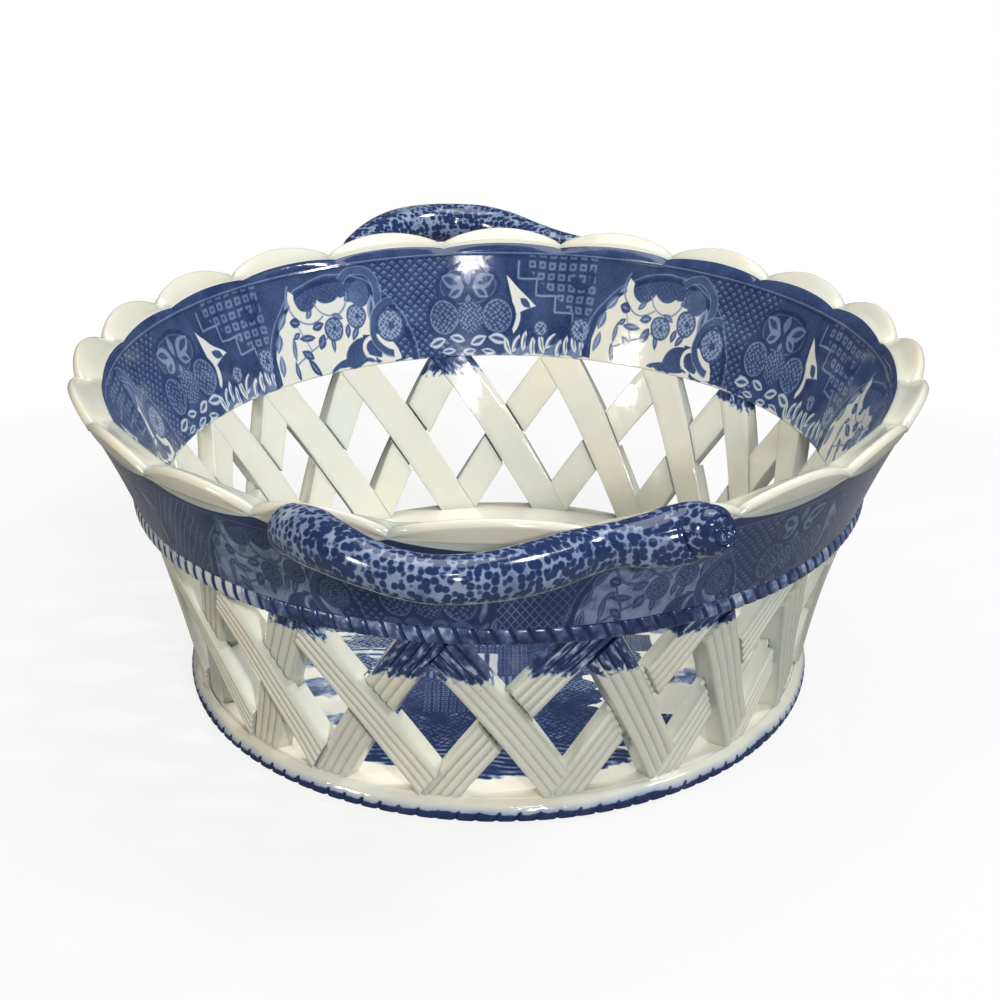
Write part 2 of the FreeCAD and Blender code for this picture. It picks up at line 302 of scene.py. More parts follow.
crease_degrees = 40.0


def add_piece(name, points, faces, materials, slots=None, hollow=None, lay=None):
    """A mesh object in metres. Hollow says how deep each point lies in a groove, lay where it
    lies across and along a strap, with how far inside the strap's print it is."""
    mesh = bpy.data.meshes.new(name)
    mesh.from_pydata([tuple(point * MM) for point in points], [], faces)
    for material in materials:
        mesh.materials.append(material)
    if slots is not None:
        mesh.polygons.foreach_set("material_index", slots)
    if hollow is not None:
        mark = mesh.attributes.new("hollow", "FLOAT", "POINT")
        mark.data.foreach_set("value", hollow)
    if lay is not None:
        mark = mesh.attributes.new("lay", "FLOAT_VECTOR", "POINT")
        mark.data.foreach_set("vector", [value for place in lay for value in place])
    mesh.polygons.foreach_set("use_smooth", [True] * len(mesh.polygons))
    mesh.set_sharp_from_angle(angle=math.radians(crease_degrees))
    mesh.validate()
    piece = bpy.data.objects.new(name, mesh)
    bpy.context.scene.collection.objects.link(piece)
    return piece


def loop_faces(section_count, point_count, closed):
    """Quads between sections of the same number of points."""
    faces = []
    last = section_count if closed else section_count - 1
    for section in range(last):
        first = section * point_count
        second = ((section + 1) % section_count) * point_count
        for index in range(point_count):
            after = (index + 1) % point_count
            faces.append((first + index, first + after, second + after, second + index))
    return faces


def close_ends(faces, section_count, point_count):
    """Adds the flat faces that close the first and the last section."""
    last = (section_count - 1) * point_count
    faces.append(tuple(reversed(range(point_count))))
    faces.append(tuple(last + index for index in range(point_count)))


def curve_point(before, start, end, after, share):
    """A place between start and end on the smooth curve that also runs through before and after."""
    bend = (end - before) * share
    bend += (2 * before - 5 * start + 4 * end - after) * share ** 2
    bend += (3 * start - before - 3 * end + after) * share ** 3
    return start + bend / 2


corner_steps = 3


def smooth_section(corners):
    """Section of a ring, smooth through its corners and straight from the last to the first."""
    points = []
    count = len(corners)
    for index in range(count - 1):
        before = corners[index - 1]
        start = corners[index]
        end = corners[index + 1]
        after = corners[(index + 2) % count]
        for step in range(corner_steps):
            share = step / corner_steps
            values = zip(before, start, end, after)
            points.append(tuple(curve_point(*four, share) for four in values))
    return points + [corners[-1]]


def limited(value):
    """A number kept between 0 and 1."""
    return max(0.0, min(1.0, value))


def share_at(table, share):
    """Value of a table of pairs at a share, in straight lines between its rows."""
    for (low, low_value), (high, high_value) in zip(table, table[1:]):
        if share <= high:
            return low_value + (high_value - low_value) * (share - low) / (high - low)
    return table[-1][1]


# Numbers worked out over a surface by Math nodes

class Num:
    """One number of a shader, with the usual signs of arithmetic."""

    def __init__(self, tree, socket):
        self.tree = tree
        self.socket = socket

    def math(self, operation, *others, clamp=False):
        node = self.tree.nodes.new("ShaderNodeMath")
        node.operation = operation
        node.use_clamp = clamp
        for place, value in enumerate((self,) + others):
            feed(self.tree, value, node.inputs[place])
        return Num(self.tree, node.outputs[0])

    def __add__(self, other):
        return self.math("ADD", other)

    def __sub__(self, other):
        return self.math("SUBTRACT", other)

    def __rsub__(self, other):
        return self.math("MULTIPLY_ADD", -1.0, other)

    def __mul__(self, other):
        return self.math("MULTIPLY", other)

    def __abs__(self):
        return self.math("ABSOLUTE")

    def fract(self):
        return self.math("FRACT")

    def floor(self):
        return self.math("FLOOR")

    def sine(self):
        return self.math("SINE")

    def clamped(self):
        """The number kept between 0 and 1."""
        return self.math("MULTIPLY", 1.0, clamp=True)

    def below(self, edge, soft):
        """1 where the number is under the edge, 0 where it is over it."""
        return self.math("MULTIPLY_ADD", -1.0 / soft, edge / soft + 0.5, clamp=True)

    def above(self, edge, soft):
        """1 where the number is over the edge, 0 where it is under it."""
        return self.math("MULTIPLY_ADD", 1.0 / soft, 0.5 - edge / soft, clamp=True)

    def between(self, low, high, soft):
        """1 between two edges."""
        return abs(self - (low + high) / 2).below((high - low) / 2, soft)


def feed(tree, value, socket):
    """Links a number to a socket, or writes a constant on it."""
    if isinstance(value, Num):
        tree.links.new(value.socket, socket)
    else:
        socket.default_value = value


def joined(first, second):
    """The larger of two masks."""
    return first.math("MAXIMUM", second)


def common(first, second):
    """The smaller of two masks."""
    return first.math("MINIMUM", second)


def painted(ink, mask, tone):
    """Ink changed to a tone where the mask is 1. Tones run from 0, bare glaze, to 1, solid blue."""
    return (tone - ink).math("MULTIPLY_ADD", mask, ink)


def distance(x, y):
    """Distance of a point from the middle."""
    return (x * x).math("ADD", y * y).math("SQRT")


class Drawing:
    """A plane drawing, in millimetres, with the soft edges of ink under glaze."""

    def __init__(self, x, y, soft):
        self.x = x
        self.y = y
        self.soft = soft
        self.stipples = {}

    def stipple(self, pitch):
        """A fine uneven stipple, from 0 to 1, of about one pitch in millimetres."""
        if pitch not in self.stipples:
            step = 2 * math.pi / pitch
            rows = (self.x * step + (self.y * step * 0.6).sine()).sine()
            across = (self.y * step * 1.1 + (self.x * step * 0.45).sine()).sine()
            self.stipples[pitch] = (rows * across).above(0.10, 0.5)
        return self.stipples[pitch]

    def spot(self, x, y, radius):
        """A round spot."""
        return distance(self.x - x, self.y - y).below(radius, self.soft)

    def oval(self, x, y, wide, tall):
        """An oval spot of half-widths wide and tall."""
        reach = distance((self.x - x) * (1 / wide), (self.y - y) * (1 / tall))
        return reach.below(1.0, self.soft * 2 / (wide + tall))

    def ring(self, x, y, radius, width):
        """A round line."""
        reach = abs(distance(self.x - x, self.y - y) - radius)
        return reach.below(width / 2, self.soft)

    def arc(self, x, y, radius, width, side_x, side_y, cut):
        """Part of a round line: what lies beyond a straight cut on one side."""
        along = (self.x - x) * side_x + (self.y - y) * side_y
        return common(self.ring(x, y, radius, width), along.above(cut, self.soft))

    def line(self, x1, y1, x2, y2, width):
        """A straight stroke between two points."""
        length = math.hypot(x2 - x1, y2 - y1)
        along_x = (x2 - x1) / length
        along_y = (y2 - y1) / length
        middle_x = (x1 + x2) / 2
        middle_y = (y1 + y2) / 2
        over = abs((self.x - middle_x) * along_x + (self.y - middle_y) * along_y)
        aside = abs((self.x - middle_x) * -along_y + (self.y - middle_y) * along_x)
        return common(over.below(length / 2, self.soft), aside.below(width / 2, self.soft))

    def leaf(self, x, y, degrees, length, width):
        """A pointed leaf."""
        turn = math.radians(degrees)
        long_x = 2 * math.cos(turn) / length
        long_y = 2 * math.sin(turn) / length
        wide_x = -2 * math.sin(turn) / width
        wide_y = 2 * math.cos(turn) / width
        over_x = self.x - x
        over_y = self.y - y
        along = over_x * long_x + over_y * long_y
        aside = over_x * wide_x + over_y * wide_y
        return (along * along + abs(aside)).below(1.0, self.soft * 2 / width)

    def box(self, left, right, low, high):
        """A rectangle."""
        wide = self.x.between(left, right, self.soft)
        return common(wide, self.y.between(low, high, self.soft))


def new_group(name, inputs, outputs):
    """An empty shader node group with named sockets."""
    group = bpy.data.node_groups.new(name, "ShaderNodeTree")
    for label, value in inputs:
        kind = "NodeSocketColor" if isinstance(value, tuple) else "NodeSocketFloat"
        socket = group.interface.new_socket(label, in_out="INPUT", socket_type=kind)
        socket.default_value = value
    for label, kind in outputs:
        group.interface.new_socket(label, in_out="OUTPUT", socket_type=kind)
    entry = group.nodes.new("NodeGroupInput")
    leave = group.nodes.new("NodeGroupOutput")
    return group, entry, leave


def placed(tree, group, values):
    """A group node with its inputs set."""
    node = tree.nodes.new("ShaderNodeGroup")
    node.node_tree = group
    for label, value in values.items():
        feed(tree, value, node.inputs[label])
    return node


def noise_value(tree, scale, detail, place=None):
    """Soft noise of about 0 to 1. Scale is in patches per millimetre."""
    node = tree.nodes.new("ShaderNodeTexNoise")
    node.inputs["Scale"].default_value = scale / MM
    node.inputs["Detail"].default_value = detail
    if place is None:
        place = tree.nodes.new("ShaderNodeTexCoord").outputs["Object"]
    tree.links.new(place, node.inputs["Vector"])
    return Num(tree, node.outputs["Fac"])


def mixed(tree, share, first, second):
    """Two colours mixed. Each is a colour or a socket, and share a number."""
    node = tree.nodes.new("ShaderNodeMix")
    node.data_type = "RGBA"
    feed(tree, share, node.inputs["Factor"])
    for value, label in ((first, "A"), (second, "B")):
        socket = [entry for entry in node.inputs if entry.name == label and entry.type == "RGBA"][0]
        if isinstance(value, tuple):
            socket.default_value = value
        else:
            tree.links.new(value, socket)
    return [leave for leave in node.outputs if leave.type == "RGBA"][0]


def coordinates(tree, place=None):
    """The three numbers of a vector, or else of the surface point itself."""
    if place is None:
        place = tree.nodes.new("ShaderNodeTexCoord").outputs["Object"]
    parts = tree.nodes.new("ShaderNodeSeparateXYZ")
    tree.links.new(place, parts.inputs[0])
    return [Num(tree, parts.outputs[axis]) for axis in "XYZ"]


def surface_turn(tree):
    """Turn of a surface point round the oval, from -0.5 to 0.5, counted from +X."""
    x, y = coordinates(tree)[:2]
    wide = wall_half_width(rim_height * 0.8)
    return (y * (wide / (wide + oval_stretch))).math("ARCTAN2", x) * (1 / (2 * math.pi))


def surface_height(tree):
    """Height of a surface point over the table, in millimetres."""
    return coordinates(tree)[2] * (1 / MM)


def mesh_mark(tree, name):
    """The attribute node that reads what a mesh says about its points."""
    node = tree.nodes.new("ShaderNodeAttribute")
    node.attribute_name = name
    return node


# Effects that several finishes share

def make_glaze_group():
    """Pearlware glaze: cream clay, blue-green glaze pooled in hollows, a few iron specks, and a paler
    clay that paints light where it is asked for.
    """
    group, entry, leave = new_group(
        "Pearlware glaze",
        [("Hollow", 0.0), ("Warmth", 0.4), ("Specks", 0.3), ("Painted light", 0.0)],
        [
            ("Colour", "NodeSocketColor"),
            ("Roughness", "NodeSocketFloat"),
            ("Height", "NodeSocketFloat"),
        ],
    )
    hollow = Num(group, entry.outputs["Hollow"])
    warmth = Num(group, entry.outputs["Warmth"])
    specks = Num(group, entry.outputs["Specks"])
    clouds = noise_value(group, 0.045, 2.0)
    patches = noise_value(group, 0.16, 3.0)
    warm_share = (clouds * 1.6 - 0.8 + warmth).math("ADD", patches * 0.5 - 0.25, clamp=True)
    clay = mixed(group, warm_share, pearl_white, pearl_warm)
    # Painted light: the clay turned paler where a surface is to look more brightly lit
    clay = mixed(group, Num(group, entry.outputs["Painted light"]), clay, pearl_painted_lit)
    pooled = (hollow * 0.62 + patches * 0.30 - 0.16).clamped()
    glazed = mixed(group, pooled, clay, pooled_glaze)
    fine = noise_value(group, 0.75, 2.0)
    speck_mask = (fine + clouds * 0.12).above(0.86, 0.05) * specks
    spotted = mixed(group, speck_mask, glazed, rust_spot)
    group.links.new(spotted, leave.inputs["Colour"])
    sheen = noise_value(group, 0.30, 2.0)
    feed(group, sheen * 0.10 + 0.06, leave.inputs["Roughness"])
    ripple = noise_value(group, 0.22, 2.0)
    feed(group, ripple + hollow * 0.4, leave.inputs["Height"])
    return group


def make_ink_group():
    """Cobalt ink under glaze: the more ink, the darker, with uneven strength."""
    group, entry, leave = new_group(
        "Cobalt ink",
        [("Ink", 0.0), ("Strength", 1.0), ("Ground", pearl_white)],
        [("Colour", "NodeSocketColor")],
    )
    ink = Num(group, entry.outputs["Ink"])
    strength = Num(group, entry.outputs["Strength"])
    uneven = noise_value(group, 0.12, 3.0)
    grain = noise_value(group, 1.6, 1.0)
    amount = ink * strength * (uneven * 0.5 + 0.75)
    amount = (amount + (grain - 0.5) * 0.22 * ink).clamped()
    pale_share = (amount * 2.6).clamped()
    pale = mixed(group, pale_share, entry.outputs["Ground"], cobalt_pale)
    mid_share = (amount * 2.2 - 0.55).clamped()
    middle = mixed(group, mid_share, pale, cobalt_mid)
    dark_share = (amount * 2.0 - 1.05).clamped()
    group.links.new(mixed(group, dark_share, middle, cobalt_dark), leave.inputs["Colour"])
    return group


def drawing_group(name, draw):
    """A drawing kept as a node group, laid over the ink that is there before it."""
    inputs = [("X", 0.0), ("Y", 0.0), ("Before", 0.0)]
    group, entry, leave = new_group(name, inputs, [("Ink", "NodeSocketFloat")])
    sheet = Drawing(Num(group, entry.outputs["X"]), Num(group, entry.outputs["Y"]), ink_edge)
    feed(group, draw(Num(group, entry.outputs["Before"]), sheet), leave.inputs["Ink"])
    return group


def stamped(ink, group, sheet, x=0.0, y=0.0, size=1.0):
    """Ink with a kept drawing laid over it, at a place and a size."""
    values = {"X": (sheet.x - x) * (1 / size), "Y": (sheet.y - y) * (1 / size), "Before": ink}
    return Num(ink.tree, placed(ink.tree, group, values).outputs["Ink"])


# The printed border: one length of print, in millimetres along it and up from the band's lower
# edge, counted from near the middle of its white lunette

unit_length = 106.0
unit_start = -20.0
ink_edge = 0.40
lunette_x = 3.0
lunette_y = -1.0
lunette_radius = 24.4
arch_radius = 27.6
rosette_x = 46.5
rosette_y = 19.0
diaper_start = 17.0
diaper_end = 41.0
panel_start = 58.0
panel_end = 84.0


def draw_flower(ink, sheet, x, y, size):
    """A round mottled flower with a dark outline."""
    ink = painted(ink, sheet.spot(x, y, size + 0.5), 0.84)
    ink = painted(ink, sheet.spot(x, y, size), sheet.stipple(1.7) * 0.30 + 0.44)
    return painted(ink, sheet.spot(x + size * 0.1, y, size * 0.25), 0.85)


def draw_lunette(ink, sheet):
    """A white panel under an arch, with leaves at its edge and curling clouds at its top."""
    for middle in (lunette_x, lunette_x + unit_length):
        ink = painted(ink, sheet.ring(middle, lunette_y, 26.6, 0.4), 0.56)
        ink = painted(ink, sheet.ring(middle, lunette_y, 25.2, 1.3), 1.0)
    lunette = common(sheet.spot(lunette_x, lunette_y, lunette_radius), sheet.x.below(15.5, sheet.soft))
    lunette = common(lunette, sheet.y.below(24.6, sheet.soft))
    ink = painted(ink, lunette, 0.03)
    ink = painted(ink, sheet.leaf(18.0, 4.6, -32, 13.0, 7.0), 0.03)
    for x, y, degrees, length, width in (
        (-18.4, 5.4, 78, 6.0, 2.2), (-17.4, 11.2, 64, 5.4, 2.4),
        (-14.6, 16.4, 48, 5.6, 2.4), (-10.6, 20.6, 32, 5.4, 2.2),
    ):
        ink = painted(ink, sheet.leaf(x, y, degrees, length, width), 0.66)
        ink = painted(ink, sheet.leaf(x, y, degrees, length * 0.8, width * 0.3), 0.40)
    for x, y, radius in ((-5.2, 22.0, 4.8), (2.6, 23.0, 4.6), (9.4, 22.2, 4.4)):
        cloud = common(sheet.spot(x, y, radius), sheet.spot(lunette_x, lunette_y, lunette_radius + 0.2))
        ink = painted(ink, cloud, sheet.stipple(1.5) * -0.14 + 0.88)
    for x, y, radius, side in ((-4.6, 20.6, 5.0, -0.8), (3.2, 20.4, 3.8, 0.1)):
        ink = painted(ink, sheet.arc(x, y, radius + 1.6, 0.5, side, -0.8, radius * 0.1), 0.56)
        ink = painted(ink, sheet.arc(x, y, radius, 2.0, side, -0.8, radius * 0.35), 0.05)
    return ink


def draw_sprays(ink, sheet):
    """Leaves, two flowers and a scrolled mound in the white panel."""
    for x, y, degrees, length, width, tone in (
        (-10.2, 15.1, -20, 3.6, 2.8, 0.88), (-2.9, 13.1, 10, 4.2, 2.4, 0.80),
        (-7.4, 10.6, -4, 5.8, 2.0, 0.78), (-2.6, 8.8, 58, 4.6, 2.6, 0.86),
        (7.0, 10.4, 78, 3.8, 1.9, 0.80), (4.2, 14.6, -25, 3.8, 1.8, 0.70),
        (-8.4, 6.2, -38, 4.6, 2.2, 0.84), (-6.6, 2.6, -50, 6.6, 2.0, 0.88),
        (-13.0, 2.8, -82, 5.6, 1.7, 0.84), (1.2, 7.6, -86, 4.4, 1.5, 0.88),
        (-12.6, 8.4, 82, 6.2, 1.6, 0.66), (9.4, 9.6, 55, 4.2, 1.9, 0.76),
        (-4.8, 16.6, 40, 3.4, 1.7, 0.74), (-10.8, 11.6, 30, 3.2, 1.5, 0.80),
    ):
        ink = painted(ink, sheet.leaf(x, y, degrees, length, width), tone)
        ink = painted(ink, sheet.leaf(x, y, degrees, length * 0.6, 0.5), 0.48)
    ink = painted(ink, sheet.line(-13.0, 4.4, 3.0, 11.0, 0.4), 0.66)
    ink = painted(ink, sheet.line(-7.0, 7.0, -9.6, 14.0, 0.3), 0.60)
    for x, y, size in ((2.2, 11.4, 2.7), (10.4, 13.9, 2.8)):
        ink = draw_flower(ink, sheet, x, y, size)
    mound = joined(sheet.leaf(9.0, 4.0, 44, 12.0, 6.8), sheet.oval(7.4, 0.2, 8.4, 2.8))
    mound = joined(mound, sheet.leaf(14.6, 5.4, -50, 9.0, 5.2))
    ink = painted(ink, mound, sheet.stipple(1.3) * -0.14 + 0.90)
    ink = painted(ink, sheet.arc(14.6, 5.0, 2.7, 1.3, -0.5, 0.85, -0.6), 0.05)
    return painted(ink, sheet.spot(15.4, 4.2, 1.5), 0.86)


def draw_scrolls(ink, sheet):
    """Curling ribbons that part the lunette from the scale diaper."""
    ink = painted(ink, sheet.spot(12.6, 19.6, 3.4), 0.72)
    for radius, width, tone in ((6.4, 1.8, 0.74), (7.5, 0.3, 0.50), (5.3, 0.3, 0.50)):
        ink = painted(ink, sheet.arc(12.2, 19.4, radius, width, 0.75, 0.66, -1.0), tone)
    ink = painted(ink, sheet.leaf(15.8, 15.2, 78, 8.0, 3.0), 0.44)
    ink = painted(ink, sheet.leaf(15.8, 15.2, 78, 6.0, 1.1), 0.74)
    ink = draw_flower(ink, sheet, 21.4, 10.2, 3.8)
    ink = painted(ink, sheet.arc(22.4, 9.6, 6.9, 1.9, -1.0, 0.1, 0.4), 0.78)
    return painted(ink, sheet.arc(22.4, 9.6, 8.0, 0.3, -1.0, 0.1, 0.4), 0.50)


def draw_scale_diaper(ink, sheet):
    """Rows of small pale scales on a dark ground."""
    slant = sheet.x * 0.85
    scale_pitch = 2.4
    rise = (sheet.y + slant) * (1 / scale_pitch)
    fall = (sheet.y - slant) * (1 / scale_pitch)
    place_x = rise.fract() - 0.5
    place_y = fall.fract() - 0.5
    scale = abs(place_x).math("SMOOTH_MAX", abs(place_y), 0.10).below(0.34, 0.10)
    upper = (place_x + place_y).above(0.06, 0.16)
    where = sheet.x.between(diaper_start, diaper_end, 1.2)
    ink = painted(ink, where, 0.98)
    ink = painted(ink, scale * where, 0.80)
    return painted(ink, scale * where * upper, 0.62)


def draw_rosette(ink, sheet):
    """A flat medallion of petals over two mottled roundels, with pale leaves underneath."""
    for lift, wide, tall, tone in (
        (-0.2, 10.0, 6.4, 1.0), (0.0, 8.6, 5.0, 0.66), (0.1, 8.2, 4.6, 0.94),
    ):
        ink = painted(ink, sheet.oval(rosette_x, rosette_y + lift, wide, tall), tone)
    for side in (-1, 1):
        x = rosette_x + side * 4.6
        ink = painted(ink, sheet.leaf(x, 20.2, side * 26, 7.4, 4.2), 0.56)
        ink = painted(ink, sheet.leaf(x + side * 0.6, 20.4, side * 26, 4.6, 1.7), 0.88)
        ink = painted(ink, sheet.leaf(x - side * 0.9, 17.4, side * -30, 5.6, 3.0), 0.54)
        ink = painted(ink, sheet.leaf(x - side * 0.6, 17.2, side * -30, 3.2, 1.1), 0.86)
    ink = painted(ink, sheet.leaf(rosette_x, 21.6, 90, 5.0, 2.4), 0.60)
    ink = painted(ink, sheet.leaf(rosette_x, 15.4, 90, 3.2, 1.8), 0.58)
    for x in (38.8, 55.6):
        ink = painted(ink, sheet.spot(x, 10.8, 5.8), 1.0)
        ink = painted(ink, sheet.spot(x, 10.8, 4.6), 0.58)
        ink = painted(ink, sheet.spot(x, 10.8, 4.2), sheet.stipple(1.9) * -0.30 + 0.92)
    ink = painted(ink, sheet.oval(47.2, 10.8, 4.0, 4.6), sheet.stipple(1.5) * -0.30 + 0.90)
    for x, y, degrees, length, width in (
        (36.4, 4.0, 16, 6.0, 3.2), (43.0, 5.0, -14, 5.0, 2.6), (49.6, 4.4, 20, 5.6, 3.0),
        (56.0, 4.6, -8, 6.4, 3.2), (39.8, 1.6, 4, 4.6, 2.0), (52.8, 1.4, -10, 5.0, 2.0),
        (46.4, 1.4, 10, 4.6, 2.2),
    ):
        ink = painted(ink, sheet.leaf(x, y, degrees, length, width * 0.9), 0.24)
        ink = painted(ink, sheet.leaf(x, y, degrees, length * 0.7, width * 0.32), 0.80)
    return ink


spear_x = 58.4
spear_y = 21.6
stair_start = 62.0
stair_top = 21.0
stair_width = 5.8
stair_drop = 4.5
stair_line = 0.30


def draw_spear_and_stair(ink, sheet):
    """A white spear with a dark leaf, and a pale stepped line on solid blue."""
    ink = painted(ink, sheet.x.between(panel_start, panel_end, 0.6), 0.96)
    left_edge = ((sheet.x - spear_x) * 4.6 + (sheet.y - spear_y)).above(0.0, 0.8)
    right_edge = ((sheet.x - spear_x) * 0.86 + (sheet.y - spear_y)).below(0.0, 0.5)
    low_edge = ((sheet.x - 60.4) * -0.3 + sheet.y).above(11.4, sheet.soft)
    ink = painted(ink, common(common(left_edge, right_edge), low_edge), 0.06)
    ink = painted(ink, sheet.leaf(61.6, 9.4, 75, 6.6, 2.4), 0.10)
    ink = painted(ink, sheet.leaf(64.2, 14.4, -36, 4.4, 2.1), 0.86)
    along = (sheet.x - stair_start) * (1 / stair_width)
    level = along.floor() * -stair_drop + stair_top
    tread = abs(sheet.y - level).below(stair_line, sheet.soft)
    corner = along.math("ROUND")
    riser_x = abs(along - corner) * stair_width
    riser_y = abs(sheet.y - (corner * -stair_drop + (stair_top + stair_drop / 2)))
    riser_end = riser_y.below(stair_drop / 2 + 0.2, sheet.soft)
    riser = common(riser_x.below(stair_line, sheet.soft), riser_end)
    where = sheet.x.between(stair_start - 0.3, stair_start + 4 * stair_width, sheet.soft)
    return painted(ink, common(joined(tread, riser), where), 0.54)


def beyond_arch(sheet):
    """1 outside the arch over the white lunette that comes next."""
    return distance(sheet.x - (lunette_x + unit_length), sheet.y - lunette_y).above(arch_radius, 0.5)


def draw_dot_grid(ink, sheet):
    """Pale squares with a dark eye, in rows, above the stepped line."""
    place_x = abs(((sheet.x - 64.0) * (1 / 3.15)).fract() - 0.5)
    place_y = abs(((sheet.y - 23.2) * (1 / 2.9)).fract() - 0.5)
    square = place_x.math("SMOOTH_MAX", place_y, 0.20).below(0.36, 0.12)
    eye = distance(place_x, place_y).below(0.12, 0.14)
    grid_start = 64.6
    over_stair = ((sheet.x - grid_start) * 0.80 + (sheet.y - 23.4)).above(0.0, 0.6)
    where = common(common(over_stair, beyond_arch(sheet)), sheet.x.above(grid_start, sheet.soft))
    ink = painted(ink, (square - eye) * where, 0.62)
    ink = painted(ink, sheet.arc(81.4, 22.4, 3.0, 1.4, 0.4, -0.9, -0.5), 0.98)
    return painted(ink, sheet.spot(79.6, 20.6, 1.6), 0.98)


def draw_fringe(ink, sheet):
    """Short pale and dark leaves along the lower edge."""
    wash = common(sheet.y.below(4.8, 1.6), sheet.x.between(panel_start, panel_end, 1.6))
    ink = painted(ink, wash, 0.62)
    for index in range(10):
        x = panel_start + 1.0 + index * 2.7
        y = 2.6 + (index % 3) * 0.9
        degrees = 112 - (index * 47) % 60
        ink = painted(ink, sheet.leaf(x, y, degrees, 5.6, 2.1), 0.10)
        ink = painted(ink, sheet.leaf(x + 1.3, y + 0.6, degrees - 8, 5.0, 1.5), 0.90)
        ink = painted(ink, sheet.leaf(x, y, degrees, 3.8, 0.5), 0.70)
    ink = draw_flower(ink, sheet, 69.4, 7.6, 1.8)
    return draw_flower(ink, sheet, 82.2, 8.0, 2.8)


def make_border_group():
    """The transfer-printed border, from a turn round the oval and a height."""
    group, entry, leave = new_group(
        "Printed border",
        [
            ("Turn", 0.0), ("Height", 0.0), ("Repeats", 6.0), ("Start", 0.0),
            ("Direction", 1.0), ("Line", 24.0), ("Edge", 27.0), ("Lattice", 0.0),
        ],
        [("Ink", "NodeSocketFloat")],
    )
    turn = Num(group, entry.outputs["Turn"])
    height = Num(group, entry.outputs["Height"])
    repeats = Num(group, entry.outputs["Repeats"])
    start = Num(group, entry.outputs["Start"])
    direction = Num(group, entry.outputs["Direction"])
    shake_x = (noise_value(group, 0.10, 1.0) - 0.5) * 1.8
    shake_y = (noise_value(group, 0.13, 1.0) - 0.5) * 1.3
    along = ((turn * direction + start + 2.0) * repeats).fract() * unit_length + unit_start
    sheet = Drawing(along + shake_x, height - band_bottom + shake_y, ink_edge)
    hatching = ((sheet.x + sheet.y) * 6.0).sine()
    ink = draw_scale_diaper(hatching * 0.06 + 0.88, sheet)
    for name, draw in (
        ("Spear and stair", draw_spear_and_stair), ("Dot grid", draw_dot_grid),
        ("Rosette", draw_rosette), ("Fringe", draw_fringe), ("Lunette", draw_lunette),
        ("Leaf sprays", draw_sprays), ("Scrolls", draw_scrolls),
    ):
        ink = stamped(ink, drawing_group(name, draw), sheet)
    slant = sheet.y * 0.9
    fall = abs(((sheet.x + slant) * 0.42).fract() - 0.5)
    rise = abs(((sheet.x - slant) * 0.42).fract() - 0.5)
    lattice = Num(group, entry.outputs["Lattice"])
    where = common(common(sheet.x.between(65.0, 90.0, 0.8), beyond_arch(sheet)), lattice)
    ink = painted(ink, where, fall.math("MAXIMUM", rise).above(0.40, 0.12) * -0.36 + 0.94)
    unshaken = height - band_bottom
    line = Num(group, entry.outputs["Line"])
    ink = painted(ink, (unshaken - line).above(-0.4, 0.3), 0.96)
    ink = painted(ink, abs(unshaken - line).below(0.16, 0.3), 0.58)
    lower = (unshaken - (noise_value(group, 0.22, 2.0) - 0.42) * 5.0).below(0.0, 0.6)
    ink = painted(ink, lower, 0.03)
    ink = painted(ink, (unshaken - Num(group, entry.outputs["Edge"])).above(0.0, 0.3), 0.0)
    feed(group, ink, leave.inputs["Ink"])
    return group


def new_finish(name):
    """A material, its tree and its one Principled shader, with the gloss of a glaze."""
    material = bpy.data.materials.new(name)
    material.use_nodes = True
    shader = material.node_tree.nodes["Principled BSDF"]
    shader.inputs["IOR"].default_value = glaze_ior
    return material, material.node_tree, shader


def relief(tree, height, depth, shader):
    """Bump of a given depth, in millimetres, on a shader."""
    bump = tree.nodes.new("ShaderNodeBump")
    bump.inputs["Strength"].default_value = 1.0
    bump.inputs["Distance"].default_value = depth * MM
    tree.links.new(height, bump.inputs["Height"])
    tree.links.new(bump.outputs["Normal"], shader.inputs["Normal"])


def hollow_mark(tree):
    """How deep a point lies in a groove of its mesh, 0 to 1."""
    return Num(tree, mesh_mark(tree, "hollow").outputs["Fac"])


glaze_group = make_glaze_group()
ink_group = make_ink_group()
border_group = make_border_group()


def glazed_finish(name, warmth, specks, ink=None, strength=1.0, painted_light=0.0, satin=0.0):
    """A glazed clay finish. Ink is a function that gives the ink over the surface, satin is how much
    rougher than glossy glaze the finish is, and the paling share makes the clay paler as painted light."""
    material, tree, shader = new_finish(name)
    hollow = hollow_mark(tree)
    values = {"Hollow": hollow, "Warmth": warmth, "Specks": specks, "Painted light": painted_light}
    glaze = placed(tree, glaze_group, values)
    colour = glaze.outputs["Colour"]
    if ink is not None:
        cobalt = placed(tree, ink_group, {"Ink": ink(tree, hollow), "Strength": strength})
        tree.links.new(colour, cobalt.inputs["Ground"])
        colour = cobalt.outputs["Colour"]
    tree.links.new(colour, shader.inputs["Base Color"])
    feed(tree, Num(tree, glaze.outputs["Roughness"]) + satin, shader.inputs["Roughness"])
    relief(tree, glaze.outputs["Height"], glaze_ripple, shader)
    return material


def border_ink(tree, repeats, start, direction, line, edge, lattice):
    """Ink of the border: its repeats in a turn, where it starts, and 1 or -1 for its direction."""
    values = {
        "Turn": surface_turn(tree), "Height": surface_height(tree), "Repeats": repeats,
        "Start": start, "Direction": direction, "Line": line, "Edge": edge, "Lattice": lattice,
    }
    return Num(tree, placed(tree, border_group, values).outputs["Ink"])


def inner_border_ink(tree, hollow):
    """The border inside the band, which runs up over the lip's inner edge."""
    return border_ink(tree, inner_repeats, inner_start, -1.0, inner_line, inner_line * 2, 0.0)


def outer_border_ink(tree, hollow):
    """The border outside the band: cut off under the scallops, with a blue veil in its whites."""
    edge = hollow * -crescent_depth + (lip_base - band_bottom)
    printed = border_ink(tree, outer_repeats, outer_start, 1.0, outer_line, edge, 1.0)
    veil = (noise_value(tree, 0.35, 3.0) * 1.2 + 0.4) * white_veil
    return printed + printed.between(0.01, 0.5, 0.02) * veil


